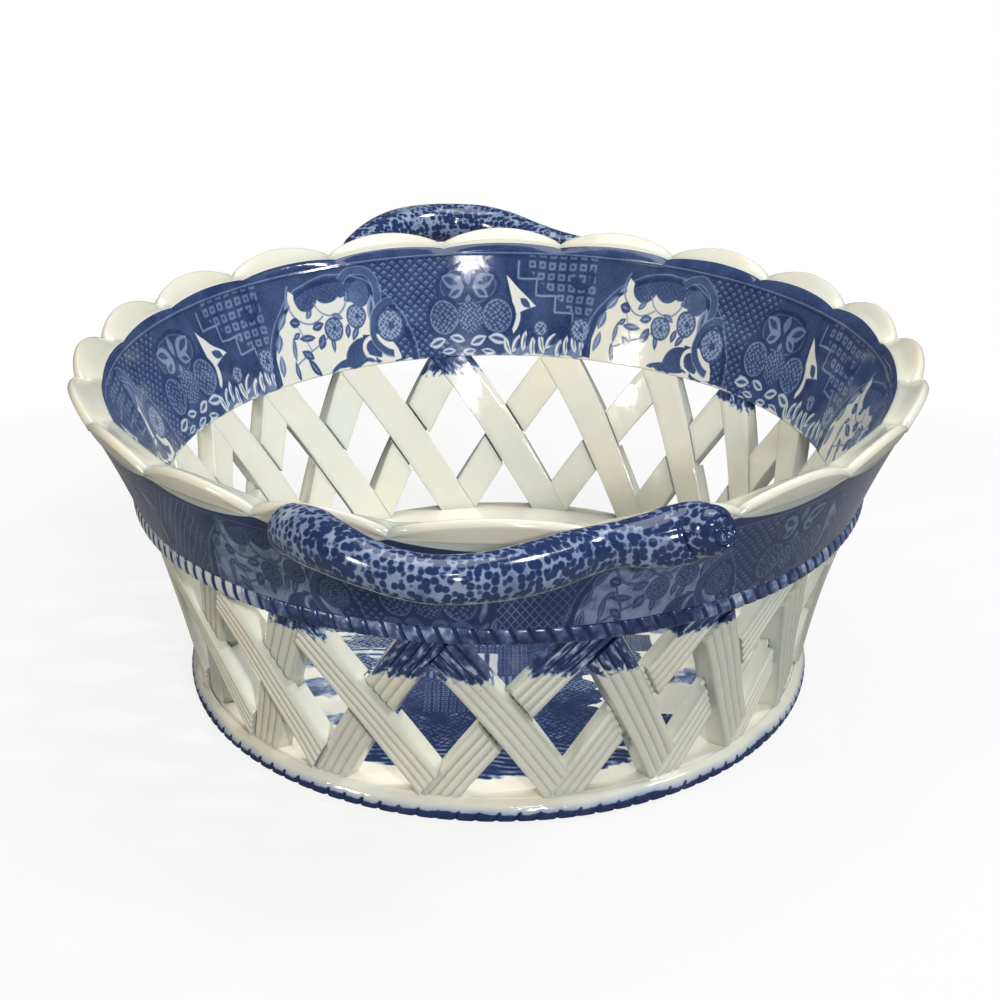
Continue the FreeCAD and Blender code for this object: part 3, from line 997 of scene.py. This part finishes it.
def strap_ink(tree, hollow):
    """Print that runs on to the upper ends of some straps, in streaks along them."""
    across, along, inside = coordinates(tree, mesh_mark(tree, "lay").outputs["Vector"])
    place = tree.nodes.new("ShaderNodeCombineXYZ")
    feed(tree, across * (0.9 * MM), place.inputs["X"])
    feed(tree, along * (0.22 * MM), place.inputs["Y"])
    streak = noise_value(tree, 1.1, 2.0, place.outputs[0])
    blot = noise_value(tree, 0.55, 2.0)
    edge = inside + (blot - 0.5) * 7.0 + (streak - 0.5) * 6.0
    strokes = (streak * 0.9 + blot * 0.5).above(0.54, 0.34)
    body = strokes * (streak + 0.18)
    return edge.above(0.0, 1.6) * joined(body, hollow.above(0.2, 0.4) * (blot * 0.9 + 0.4))


def rope_ink(tree, hollow):
    """Blue on the rope, darkest in its cuts, with pale patches between them."""
    patch = noise_value(tree, 0.13, 2.0)
    blot = noise_value(tree, 0.55, 3.0)
    stretch = noise_value(tree, 0.016, 1.0)
    turn = surface_turn(tree)
    front_left = turn.between(-0.52, -0.345, 0.03)
    front_right = turn.between(-0.165, -0.05, 0.02)
    bare = joined(front_left, front_right * 0.4)
    amount = patch * 1.3 + blot * 1.1 + stretch * 1.4
    body = (amount - 1.12 - bare * 0.75).clamped()
    return joined(body, hollow.above(0.12, 0.30) * 1.1)


def foot_ink(tree, hollow):
    """A dark line at the very bottom of the foot, and blue in the cuts above it."""
    height = surface_height(tree)
    shake = noise_value(tree, 0.06, 2.0)
    fine = noise_value(tree, 0.5, 2.0)
    line = (height - shake * 2.5 - fine * 0.8).below(0.75, 0.5)
    cuts = hollow.above(0.30, 0.30) * (height - fine).below(2.6, 0.5)
    wash = (height - shake * 2.4).below(2.2, 1.6) * 0.34
    return joined(joined(line, cuts * 0.95), wash)


def make_handle_finish():
    """Sponged blue: dark dots on pale blue, closer together in places."""
    material, tree, shader = new_finish("sponged_handle")
    place = tree.nodes.new("ShaderNodeTexCoord").outputs["Object"]
    cells = tree.nodes.new("ShaderNodeTexVoronoi")
    cells.inputs["Scale"].default_value = dots_per_mm / MM
    cells.inputs["Randomness"].default_value = 0.66
    tree.links.new(place, cells.inputs["Vector"])
    reach = Num(tree, cells.outputs["Distance"])
    crowd = noise_value(tree, 0.07, 2.0)
    ragged = noise_value(tree, 0.9, 2.0)
    size = crowd * 0.60 + 0.29 + (ragged - 0.5) * 0.34
    dots = (size - reach).above(-0.02, 0.34)
    wash = noise_value(tree, 0.14, 2.0)
    hollow = hollow_mark(tree)
    pale = (wash * 0.9 + 0.26).clamped()
    ink = joined(dots, pale * 0.62 + hollow * 0.45)
    glaze = placed(tree, glaze_group, {"Hollow": 0.15, "Warmth": 0.1, "Specks": 0.0})
    cobalt = placed(tree, ink_group, {"Ink": ink, "Strength": 1.08})
    tree.links.new(glaze.outputs["Colour"], cobalt.inputs["Ground"])
    tree.links.new(cobalt.outputs["Colour"], shader.inputs["Base Color"])
    tree.links.new(glaze.outputs["Roughness"], shader.inputs["Roughness"])
    relief(tree, glaze.outputs["Height"], handle_ripple, shader)
    return material


# The printed floor: a garden with two tiled pavilions, trees and water, in millimetres from the
# middle of the floor

def draw_ground(ink, sheet):
    """Soft clouds and water on bare glaze, and a dark leafy ground in the middle."""
    mottle = noise_value(ink.tree, 0.30, 3.0)
    tatter = noise_value(ink.tree, 0.11, 3.0) - 0.5
    shaken_x = sheet.x + tatter * 26.0 + (mottle - 0.5) * 9.0
    shaken_y = sheet.y - tatter * 16.0 + (mottle - 0.5) * 6.0
    blurred = Drawing(shaken_x, shaken_y, 4.0)
    torn = Drawing(shaken_x, shaken_y, 0.8)
    for x, y, wide, tall in (
        (-40.0, -34.0, 15.0, 6.0), (-48.0, -18.0, 12.0, 6.0), (-34.0, -54.0, 10.0, 4.0),
        (-44.0, 6.0, 16.0, 7.0), (48.0, -30.0, 7.0, 3.0), (44.0, 2.0, 9.0, 4.0),
        (-30.0, 40.0, 15.0, 6.0), (34.0, 48.0, 15.0, 5.0),
    ):
        ink = painted(ink, blurred.oval(x, y, wide, tall), (mottle * 1.3 - 0.16).clamped())
    ripple = (sheet.y * 2.1 + (sheet.x * 0.25).sine() * 0.9).sine().above(0.30, 0.6)
    lake = torn.oval(-26.0, -4.0, 20.0, 24.0)
    ink = painted(ink, common(lake, mottle.above(0.44, 0.12)), ripple * 0.55 + 0.16)
    ground = joined(torn.oval(-4.0, -42.0, 28.0, 33.0), torn.oval(12.0, -12.0, 23.0, 20.0))
    for x, y, wide, tall in (
        (-42.0, 3.0, 15.0, 4.5), (10.0, 22.0, 19.0, 5.0), (26.0, -56.0, 16.0, 9.0),
    ):
        ground = joined(ground, torn.oval(x, y, wide, tall))
    leaves = (mottle * 1.7 - 0.45).math("MULTIPLY", sheet.stipple(2.2), clamp=True) * -0.70 + 0.96
    ink = painted(ink, ground, leaves)
    shore = joined(torn.oval(4.0, -82.0, 42.0, 17.0), torn.oval(-20.0, -74.0, 26.0, 8.0))
    waves = (sheet.y * 2.8 + (sheet.x * 0.4).sine() * 1.6).sine().above(0.1, 0.7)
    return painted(ink, shore, waves * mottle.above(0.42, 0.2) * -0.5 + 0.94)


def draw_pavilion(ink, sheet):
    """A pavilion of two storeys with tiled walls and curved roofs."""
    for level in range(2):
        half = 15.0 - level * 4.2
        base = level * 22.0
        top = base + 17.0
        tile_x = abs((sheet.x * 0.46).fract() - 0.5)
        tile_y = abs((sheet.y * 0.46).fract() - 0.5)
        tiles = tile_x.math("MAXIMUM", tile_y).between(0.22, 0.34, 0.12)
        ink = painted(ink, sheet.box(-half, half, base, top), tiles * -0.50 + 0.94)
        ink = painted(ink, sheet.box(-3.0, 3.0, base, base + 12.0), 0.20)
        ink = painted(ink, sheet.box(-0.6, 0.6, base, base + 12.0), 0.85)
        sag = sheet.x * sheet.x * (3.6 / (half * half))
        eaves = (sheet.y - top - sag).between(-0.6, 3.4 - level * 0.6, 0.5)
        ribs = abs((sheet.x * 0.55).fract() - 0.5).above(0.26, 0.14)
        ink = painted(ink, common(eaves, abs(sheet.x).below(half + 4.0, 0.5)), ribs * 0.5 + 0.45)
    return painted(ink, sheet.leaf(0.0, 47.0, 90, 12.0, 4.0), 0.9)


def draw_tree(ink, sheet):
    """A tree with a bent trunk and round tufts of leaves."""
    ink = painted(ink, sheet.line(0.0, 0.0, 3.6, 18.0, 1.5), 0.9)
    ink = painted(ink, sheet.line(3.6, 18.0, -1.0, 30.0, 1.1), 0.9)
    for side in (-1.0, 1.0):
        ink = painted(ink, sheet.line(2.4, 12.0 + side * 3.0, side * 8.6, 20.0 + side * 3.0, 0.9), 0.9)
    flutter = noise_value(ink.tree, 0.75, 2.0) - 0.5
    leafy = Drawing(sheet.x + flutter * 7.0, sheet.y - flutter * 7.0, 0.5)
    for x, y, wide, tall in (
        (0.0, 30.0, 8.6, 4.6), (9.6, 23.6, 7.2, 3.8), (-9.4, 18.4, 7.0, 3.8),
        (3.4, 38.0, 6.0, 3.4), (-8.0, 28.0, 4.4, 2.6),
    ):
        ink = painted(ink, leafy.oval(x, y, wide, tall), sheet.stipple(1.6) * -0.55 + 0.97)
    return ink


floor_margin = 9.0
bare_floor_ink = 0.03
# Places of the floor's pavilions and trees, with their sizes
pavilion_places = ((-3.0, -50.0, 1.0), (30.0, -14.0, 0.62))
tree_places = (
    (-27.0, -44.0, 1.2), (27.0, -52.0, 0.95), (-42.0, 6.0, 0.9), (4.0, 25.0, 1.0), (20.0, 22.0, 0.7),
)


def floor_ink(tree, hollow):
    """The scene on the floor, ragged at its edge, with a bare margin round it."""
    shake = (noise_value(tree, 0.08, 1.0) - 0.5) * 2.4
    x, y = [part * (1 / MM) + shake for part in coordinates(tree)[:2]]
    sheet = Drawing(x, y, ink_edge)
    ink = stamped(x * 0.0 + bare_floor_ink, drawing_group("Garden ground", draw_ground), sheet)
    for name, draw, places in (
        ("Pavilion", draw_pavilion, pavilion_places), ("Garden tree", draw_tree, tree_places),
    ):
        group = drawing_group(name, draw)
        for place_x, place_y, size in places:
            ink = stamped(ink, group, sheet, place_x, place_y, size)
    wide = plate_half_width - floor_margin
    reach = distance(sheet.x * (1 / wide), sheet.y * (1 / (wide + oval_stretch)))
    ragged = (noise_value(tree, 0.30, 2.0) - 0.5) * 0.08
    return painted(ink, (reach + ragged).above(0.985, 0.02), 0.0)


# Finishes

strap_finish = glazed_finish("pearl_strap", 0.42, 0.5, strap_ink, strength=1.25)
lip_finish = glazed_finish("pearl_lip", 0.62, 1.0)
plain_finish = glazed_finish("pearl_plain", 0.35, 0.4)
foot_finish = glazed_finish("pearl_foot", 0.35, 0.5, foot_ink)
rope_finish = glazed_finish("blue_rope", 0.3, 0.2, rope_ink, strength=1.1, satin=0.16)
inner_finish = glazed_finish("printed_inside", 0.3, 0.1, inner_border_ink, strength=0.94)
outer_finish = glazed_finish("printed_outside", 0.2, 0.1, outer_border_ink, strength=1.1)
# The floor's clay is fully paled, as painted light, so that the floor looks brightly lit
floor_finish = glazed_finish("printed_floor", 0.5, 0.6, floor_ink, strength=1.18, painted_light=1.0)
handle_finish = make_handle_finish()


# Straps of the lattice

def junction_turn(index, shift_shares):
    """Place of one junction of the lattice, as a share of the way round."""
    shift = shift_shares[(index % bay_count) % len(shift_shares)]
    return (index + 0.5 + shift) / bay_count


def strap_turns(bay, rising):
    """Places of a strap's middle at the floor and under the band."""
    if rising:
        return junction_turn(bay, foot_shift_shares), junction_turn(bay + 1, top_shift_shares)
    return junction_turn(bay + 1, foot_shift_shares), junction_turn(bay, top_shift_shares)


def half_strap(depth):
    """Half the level width of a strap at a depth, as a share of the way round."""
    slope = math.hypot(middle_girth / bay_count, opening_height) / opening_height
    half = strap_face / 2 + strap_bevel * depth / wall_depth
    return half * slope / middle_girth


def meeting_share(bay, rising, across, depth, other_bay, other_side):
    """Share of the height where a line of one strap meets a line of another one."""
    low, high = strap_turns(bay, rising)
    other_low, other_high = strap_turns(other_bay, not rising)
    start = low + across * half_strap(depth)
    return (other_low + other_side - start) / ((high - low) - (other_high - other_low))


reed_steps = (0.0, 0.07, 0.18, 0.34, 0.5, 0.66, 0.82, 0.93)
back_round_shares = ((1.0, 0.25), (1.0, 0.55), (1.0, 0.84), (0.985, 0.95), (0.93, 1.0))


def strap_profile(front, back):
    """Points across a strap as (across, depth, hollow): rounded reeds, sides, plain back."""
    profile = []
    for reed in range(reed_count):
        for step in reed_steps:
            across = -1.0 + 2.0 * (reed + step) / reed_count
            roll = abs(2 * step - 1)
            profile.append((across, front + groove_depth * roll ** reed_fullness, roll ** 6))
    edge = front + groove_depth
    profile.append((1.0, edge, 0.6))
    side_depth = back - front - groove_depth
    side = [(across, edge + side_depth * down) for across, down in back_round_shares]
    profile += [(across, depth, 0.25) for across, depth in side]
    profile += [(across, back, 0.0) for across in (0.6, 0.2, -0.2, -0.6)]
    profile += [(-across, depth, 0.25) for across, depth in reversed(side)]
    return profile


def strap_place(bay, rising, across, depth, key):
    """Turn and share of the height of a profile point at one of four key sections."""
    low, high = strap_turns(bay, rising)
    if key in (1, 2):
        side = -1.0 if (key == 1) == rising else 1.0
        edge = side * half_strap(wall_depth) * (1 + block_margin_share)
        share = meeting_share(bay, rising, across, depth, bay, edge)
    elif rising:
        share = 0.0 if key == 0 else 1.0
    else:
        neighbour = bay + 1 if key == 0 else bay - 1
        side = -1.0 if key == 0 else 1.0
        share = meeting_share(bay, rising, across, depth, neighbour, side * half_strap(depth))
    return low + (high - low) * share + across * half_strap(depth), share


# Without a seed, the straps would waver another way in each run
noise.seed_set(waver_seed)


def wavered(point):
    """A point moved a little, as hand-laid clay lies."""
    sway = noise.noise_vector(point / waver_length)
    lie = point.z - floor_top
    hold = limited(min(lie / foot_hold, (opening_height - lie) / top_hold))
    return point + Vector((sway.x, sway.y, sway.z)) * (strap_waver * hold)


def make_strap(bay, rising):
    """One reeded strap, halved where it crosses the other strap of its bay."""
    plain = (over_relief, wall_depth) if rising else (0.0, wall_depth - lap_gap)
    halved = (lap_depth + lap_gap, wall_depth) if rising else (0.0, lap_depth - lap_gap)
    top_junction = (bay + 1 if rising else bay) % bay_count
    strap_length = math.hypot(middle_girth / bay_count, opening_height)
    rows = []
    for key, steps in ((0, 12), (1, 8), (2, 12)):
        front, back = halved if key == 1 else plain
        profile = strap_profile(front, back)
        for step in range(steps + 1):
            row = []
            for across, depth, hollow in profile:
                first_turn, first_share = strap_place(bay, rising, across, depth, key)
                last_turn, last_share = strap_place(bay, rising, across, depth, key + 1)
                part = step / steps
                turn = first_turn + (last_turn - first_turn) * part
                share = first_share + (last_share - first_share) * part
                point = wall_point(turn, floor_top + opening_height * share, depth)
                pool = max(0.0, foot_pool_share - strap_length * share / foot_pool_height)
                if (depth < lap_depth) == rising and key != 1:
                    from_lap = step if key == 2 else steps - step
                    pool = max(pool, lap_pool_share - from_lap * lap_pool_fade_share)
                inside_print = print_runs[top_junction] - strap_length * (1 - share)
                lay = (across * strap_face / 2 + lay_pitch * bay, strap_length * share, inside_print)
                row.append((wavered(point), max(hollow, pool), lay))
            rows.append(row)
    points = [point for row in rows for point, hollow, lay in row]
    hollows = [hollow for row in rows for point, hollow, lay in row]
    lays = [lay for row in rows for point, hollow, lay in row]
    faces = loop_faces(len(rows), len(rows[0]), False)
    close_ends(faces, len(rows), len(rows[0]))
    node = ("under_strap_%02d" if rising else "over_strap_%02d") % (bay + 1)
    piece = add_piece(node + "_clay", points, faces, [strap_finish], hollow=hollows, lay=lays)
    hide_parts(node)
    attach(piece, "root")


# Rings round the basket

def make_ring(name, node, sections, materials, slots=None, hollow=None):
    """A closed ring through sections, standing for one node."""
    points = [point for section in sections for point in section]
    faces = loop_faces(len(sections), len(sections[0]), True)
    face_slots = None if slots is None else slots * len(sections)
    piece = add_piece(name, points, faces, materials, face_slots, hollow)
    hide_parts(node)
    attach(piece, "root")


def notch_turn(index):
    """Place of one notch between two scallops, as a share of the way round."""
    shift = notch_shift_shares[index % len(notch_shift_shares)]
    return (index + 0.5 + shift) / bay_count


def crest_share(share):
    """How high a scallop stands at a share of its width, from 0 at a notch to 1."""
    return math.sin(math.pi * share) ** scallop_fullness


def crest_at(turn):
    """How near a place lies to the top of its scallop, from 0 at a notch to 1."""
    for scallop in range(-1, bay_count):
        start = notch_turn(scallop) + math.floor(scallop / bay_count)
        end = notch_turn(scallop + 1) + math.floor((scallop + 1) / bay_count)
        if start <= turn < end:
            return crest_share((turn - start) / (end - start))
    return 0.0


def make_band():
    """The flared band: print on both sides, plain clay in the step and underneath."""
    steps = 360
    levels = 10
    rope_top = band_bottom + rope_height
    rope_inner = band_half_width - rope_rebate
    sections = []
    crests = []
    for step in range(steps):
        turn = step / steps
        crests += [crest_at(turn)] * (2 + levels + 1) + [0.0] * (levels + 2)
        section = [
            oval_point(turn, rope_inner, band_bottom),
            oval_point(turn, rope_inner, rope_top),
        ]
        for level in range(levels + 1):
            height = rope_top + (lip_base - rope_top) * level / levels
            section.append(wall_point(turn, height, 0.0))
        for level in range(levels + 1):
            height = lip_base + (band_bottom + band_round - lip_base) * level / levels
            section.append(wall_point(turn, height, wall_depth))
        section.append(wall_point(turn, band_bottom, wall_depth - band_round))
        sections.append(section)
    slots = [2, 2] + [0] * levels + [1] + [1] * levels + [1, 2]
    make_ring("band_clay", "rim_band", sections,
              [outer_finish, inner_finish, plain_finish], slots, crests)


# Corners of the lip's section, counted up its outside from the band
lip_top_corner = 5
lip_print_corner = 8


def lip_section(turn, crest):
    """Section of the lip: a round ridge outside, a face that slopes in, and the printed edge."""
    outer = lip_base_half_width
    inner = outer - wall_depth
    edge = rim_half_width + (crest_bulge - lip_inset) * crest
    top = rim_height + (lip_crest - lip_inset - rim_height) * crest
    tall = top - lip_base
    # Lower and upper edge of the face that slopes in
    low_width = inner + 0.9
    low_height = rim_height - 0.35 + crest
    high_width = edge - 2.9
    high_height = top - 0.45 - 0.60 * crest
    reach = share_at(print_reaches, turn % 1.0) / (high_width - low_width)
    print_width = low_width + (high_width - low_width) * reach
    print_height = low_height + (high_height - low_height) * reach
    corners = [
        (outer, lip_base),
        (outer + (edge - outer) * 0.50, lip_base + tall * 0.26),
        (edge - 0.15, top - 1.80),
        (edge, top - 1.15),
        (edge - 0.42, top - 0.36),
        (edge - 1.3, top),
        (high_width, high_height),
        ((print_width + high_width) / 2, (print_height + high_height) / 2 - 0.4 * crest),
        (print_width, print_height),
        (inner + 0.35, rim_height - 1.30 + 0.70 * crest),
        (inner + 0.08, lip_base + 0.8),
        (inner, lip_base),
    ]
    rounded = smooth_section(corners)
    return [oval_point(turn, width, max(height, lip_base)) for width, height in rounded]


def make_lip():
    """The lip with twenty thumbed scallops, its glaze pooled inside and in the notches."""
    facets = 22
    top_point = corner_steps * lip_top_corner
    first_print = corner_steps * lip_print_corner
    sections = []
    hollows = []
    for scallop in range(bay_count):
        start = notch_turn(scallop)
        end = notch_turn(scallop + 1)
        if scallop == bay_count - 1:
            end = 1 + notch_turn(0)
        for facet in range(facets):
            share = facet / facets
            crest = crest_share(share)
            section = lip_section(start + (end - start) * share, crest)
            sections.append(section)
            notch = notch_pool_share * (1 - crest) ** 3
            for point in range(len(section)):
                inside = limited((point - top_point) / 6) * inside_pool_share
                below = limited((8 - point) / 8) * outside_pool_share
                hollows.append(max(notch, inside, below))
    slots = [0] * first_print + [1] * (len(sections[0]) - 1 - first_print) + [0]
    make_ring("lip_clay", "scalloped_lip", sections,
              [lip_finish, inner_finish], slots, hollows)


def make_rope():
    """A twisted roll of clay laid in the step at the band's lower edge."""
    steps = 12
    twist_count = bay_count * twists_per_bay
    inner = band_half_width - rope_rebate + seam
    outer = wall_half_width(band_bottom + rope_height / 2) + rope_out
    low = band_bottom + seam
    high = band_bottom + rope_height - seam
    middle = (low + high) / 2
    rounded = smooth_section([
        (inner, low), (outer - 1.1, low + 0.02), (outer - 0.25, low + 0.55), (outer, middle),
        (outer - 0.25, high - 0.55), (outer - 0.9, high - 0.05), (inner, high),
    ])
    girth_here = girth(band_bottom)
    sections = []
    hollows = []
    for step in range(twist_count * steps):
        turn = step / (twist_count * steps)
        section = []
        for width, height in rounded:
            lean = rope_slant * (height - middle) / (high - low)
            phase = ((turn + lean / girth_here) * twist_count) % 1.0
            dip = abs(2 * phase - 1) ** 6
            face = limited((width - inner) / rope_face)
            section.append(oval_point(turn, width - rope_groove * dip * face, height))
            hollows.append(dip * face)
        sections.append(section)
    make_ring("rope_clay", "rope_moulding", sections, [rope_finish], hollow=hollows)


def make_foot():
    """The bead round the slab's edge, nicked with a knife."""
    offsets = (-0.5, -0.34, -0.22, -0.14, -0.07, 0.0, 0.07, 0.14, 0.22, 0.34)
    nick_count = bay_count * nicks_per_bay
    inner = plate_half_width + seam
    outer = inner + foot_edge_out
    rounded = smooth_section([
        (inner, foot_edge_low), (outer - 0.5, foot_edge_low), (outer - 0.05, foot_edge_low + 0.7),
        (outer - 0.02, foot_edge_low + 2.0), (outer - 0.7, foot_edge_top - 0.75),
        (inner + 1.0, foot_edge_top - 0.15), (inner, foot_edge_top - 0.05),
    ])
    sections = []
    hollows = []
    for nick in range(nick_count):
        for offset in offsets:
            dip = math.exp(-(offset / nick_width_share) ** 2)
            section = []
            for width, height in rounded:
                low_share = limited((nick_top - height) / nick_run_out)
                face = limited((width - inner) / nick_face)
                turn = (nick + offset) / nick_count
                turn += nick_lean * (height - foot_edge_low) / girth(floor_top)
                cut = nick_depth * dip * low_share * nick_shares[nick % len(nick_shares)]
                section.append(oval_point(turn, width - cut * face, height))
                hollows.append(dip * low_share)
            sections.append(section)
    make_ring("foot_clay", "foot_edge", sections, [foot_finish], hollow=hollows)


def make_plate():
    """The flat oval slab: printed on top, plain on its side and underneath."""
    steps = 240
    rings = (
        (plate_half_width - 0.6, 0.0), (plate_half_width, 0.35),
        (plate_half_width, floor_top - 0.5), (plate_half_width - 0.5, floor_top),
    )
    points = []
    for half_width, height in rings:
        for step in range(steps):
            points.append(oval_point(step / steps, half_width, height))
    faces = loop_faces(len(rings), steps, False)
    close_ends(faces, len(rings), steps)
    slots = [1] * (len(faces) - 1) + [0]
    piece = add_piece("floor_clay", points, faces, [floor_finish, plain_finish], slots)
    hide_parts("base_plate")
    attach(piece, "root")


# Handles

def pressed_out(point):
    """The point itself, or its place on the wall's face where clay was pressed flat."""
    half_width = wall_half_width(point.z)
    if point.z > lip_base:
        half_width = max(half_width, rim_half_width + crest_bulge)
    half_width = min(half_width, rim_half_width + crest_bulge) + seat_gap
    inside = math.hypot(point.x / half_width, point.y / (half_width + oval_stretch))
    if inside >= 1:
        return point
    return Vector((point.x / inside, point.y / inside, point.z))


def handle_places(steps, drop, shift, press):
    """Points of a handle's middle line, as it would lie in front, smooth through its shares."""
    knots = []
    for along, reach, lift in handle_line_shares:
        x = handle_half_span * along + shift
        wall = (rim_half_width + oval_stretch) * math.sqrt(1 - (x / rim_half_width) ** 2)
        droop = drop * ((x - back_drop_middle) / handle_half_span) ** 2
        y = -(wall + (handle_reach - press) * reach)
        knots.append(Vector((x, y, handle_height + handle_radius * lift - droop)))
    knots = [2 * knots[0] - knots[1]] + knots + [2 * knots[-1] - knots[-2]]
    places = []
    for index in range(1, len(knots) - 2):
        for step in range(steps):
            places.append(curve_point(*knots[index - 1:index + 3], step / steps))
    places.append(knots[-2])
    return places


def kept_in(point, low, high):
    """The point, brought back where it stands out of a box."""
    return Vector([min(max(value, least), most) for value, least, most in zip(point, low, high)])


def make_handle(name, node, side, girth_shares, drop=0.0, shift=0.0, press=0.0):
    """A pulled twig, pressed to the wall, with one round end and one whorled end."""
    facets = 54
    steps = 9
    places = handle_places(steps, drop, shift, press)
    low, high = [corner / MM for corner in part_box(node)]
    rings = []
    hollows = []

    def add_ring(place, way, radius, deep=0.0, starred=0.0):
        across = way.cross(Vector((0, 0, 1))).normalized()
        up = across.cross(way).normalized()
        ring = []
        for facet in range(facets):
            angle = 2 * math.pi * facet / facets
            cut = starred * (0.5 + 0.5 * math.cos(whorl_cuts * angle)) ** 2
            offset = across * (radius * math.cos(angle)) + up * (radius * math.sin(angle))
            point = pressed_out(place + offset - way * (cut * whorl_cut_depth))
            ring.append(kept_in(Vector((point.x, point.y * side, point.z)), low, high))
            hollows.append(min(1.0, deep + cut))
        rings.append(ring)

    start_way = (places[1] - places[0]).normalized()
    start_radius = handle_radius * share_at(girth_shares, 0.0)
    for back, left in tip_round_shares:
        add_ring(places[0] - start_way * (start_radius * back), start_way, start_radius * left)
    lengths = [0.0]
    for before, after in zip(places, places[1:]):
        lengths.append(lengths[-1] + (after - before).length)
    for index, place in enumerate(places):
        before = places[max(0, index - 1)]
        after = places[min(len(places) - 1, index + 1)]
        way = (after - before).normalized()
        radius = handle_radius * share_at(girth_shares, lengths[index] / lengths[-1])
        add_ring(place, way, radius)
    for forward, left, deep, starred in whorl_shares:
        add_ring(place + way * (radius * forward), way, radius * left, deep, starred)
    points = [point for ring in rings for point in ring]
    faces = loop_faces(len(rings), facets, False)
    close_ends(faces, len(rings), facets)
    if side < 0:
        faces = [tuple(reversed(face)) for face in faces]
    piece = add_piece(name, points, faces, [handle_finish], hollow=hollows)
    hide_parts(node)
    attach(piece, "root")


for bay in range(bay_count):
    make_strap(bay, True)
    make_strap(bay, False)
make_band()
make_lip()
make_rope()
make_foot()
make_plate()
make_handle("front_handle_clay", "handle_front", 1.0, handle_girth_shares)
make_handle("back_handle_clay", "handle_back", -1.0, back_girth_shares,
            back_handle_drop, back_handle_shift, back_handle_press)


# Table, light and camera, in metres

# Where the table's fade to white starts and how far it runs, and how white it is before that
fade_start = 0.11
fade_reach = 1 / 7
least_white = 0.84


def make_table():
    """A wide pale table that fades to white behind the basket."""
    mesh = bpy.data.meshes.new("table")
    reach = 6.0
    corners = [(-reach, -reach, 0), (reach, -reach, 0), (reach, reach, 0), (-reach, reach, 0)]
    mesh.from_pydata(corners, [], [(0, 1, 2, 3)])
    table = bpy.data.objects.new("table", mesh)
    bpy.context.scene.collection.objects.link(table)
    material = bpy.data.materials.new("pale_table")
    material.use_nodes = True
    tree = material.node_tree
    shader = tree.nodes["Principled BSDF"]
    shader.inputs["Roughness"].default_value = 0.7
    glow = tree.nodes.new("ShaderNodeEmission")
    x, y = coordinates(tree)[:2]
    rays = tree.nodes.new("ShaderNodeLightPath")
    seen = Num(tree, rays.outputs["Is Camera Ray"])
    tree.links.new(mixed(tree, seen, table_lit, table_seen), shader.inputs["Base Color"])
    fade = (distance(x, y) - fade_start).math("MULTIPLY", 1 / fade_reach, clamp=True)
    mix = tree.nodes.new("ShaderNodeMixShader")
    feed(tree, fade.math("MAXIMUM", least_white) * seen, mix.inputs[0])
    tree.links.new(shader.outputs[0], mix.inputs[1])
    tree.links.new(glow.outputs[0], mix.inputs[2])
    tree.links.new(mix.outputs[0], tree.nodes["Material Output"].inputs["Surface"])
    mesh.materials.append(material)


def make_world():
    """Soft light all round, white behind the basket."""
    world = bpy.data.worlds.new("studio")
    bpy.context.scene.world = world
    world.use_nodes = True
    tree = world.node_tree
    sky = tree.nodes["Background"]
    sky.inputs["Color"].default_value = sky_colour
    sky.inputs["Strength"].default_value = sky_strength
    white = tree.nodes.new("ShaderNodeBackground")
    white.inputs["Strength"].default_value = 1.0
    rays = tree.nodes.new("ShaderNodeLightPath")
    mix = tree.nodes.new("ShaderNodeMixShader")
    tree.links.new(rays.outputs["Is Camera Ray"], mix.inputs[0])
    tree.links.new(sky.outputs[0], mix.inputs[1])
    tree.links.new(white.outputs[0], mix.inputs[2])
    tree.links.new(mix.outputs[0], tree.nodes["World Output"].inputs["Surface"])


def add_lamp(name, place, target, size, watts, colour=(1.0, 1.0, 1.0), tall=None):
    """A soft lamp aimed at a point: square, or as tall as tall says."""
    light = bpy.data.lights.new(name, "AREA")
    light.shape = "RECTANGLE"
    light.size = size
    light.size_y = tall or size
    light.energy = watts
    light.color = colour
    lamp = bpy.data.objects.new(name, light)
    lamp.location = place
    lamp.rotation_euler = (Vector(target) - Vector(place)).to_track_quat("-Z", "Y").to_euler()
    bpy.context.scene.collection.objects.link(lamp)


# Camera: lens and film width in millimetres, and degrees that it looks down and round
camera_lens = 82.44
film_width = 36.0
camera_shift = 0.00115
camera_place = (0.0032, -0.5432, 0.2423)
camera_down = 20.39
camera_round = 0.33


def make_camera():
    """The photograph's view: a little above the rim, square to the short side."""
    data = bpy.data.cameras.new("camera")
    data.lens = camera_lens
    data.sensor_width = film_width
    data.shift_x = camera_shift
    camera = bpy.data.objects.new("camera", data)
    camera.location = camera_place
    camera.rotation_euler = (math.radians(90 - camera_down), 0, math.radians(camera_round))
    bpy.context.scene.collection.objects.link(camera)
    bpy.context.scene.camera = camera


make_table()
make_world()
add_lamp("overhead", (0.05, 0.15, 1.1), (0, 0, 0.03), 0.8, 6.4)
add_lamp("front", (0.56, -1.92, 0.85), (0, 0, 0.04), 0.16, 23.0)
add_lamp("window", (0.80, 0.05, 0.95), (-0.05, 0, 0.04), 0.2, 6.0)
add_lamp("side", (-1.3, -0.75, 0.6), (0, 0, 0.04), 0.3, 8.5, warm_light)
add_lamp("bulb", (0.31, -1.24, 1.25), (0, 0, 0.06), 0.30, 3.0, tall=0.07)
make_camera()
bpy.context.scene.view_settings.view_transform = "Standard"
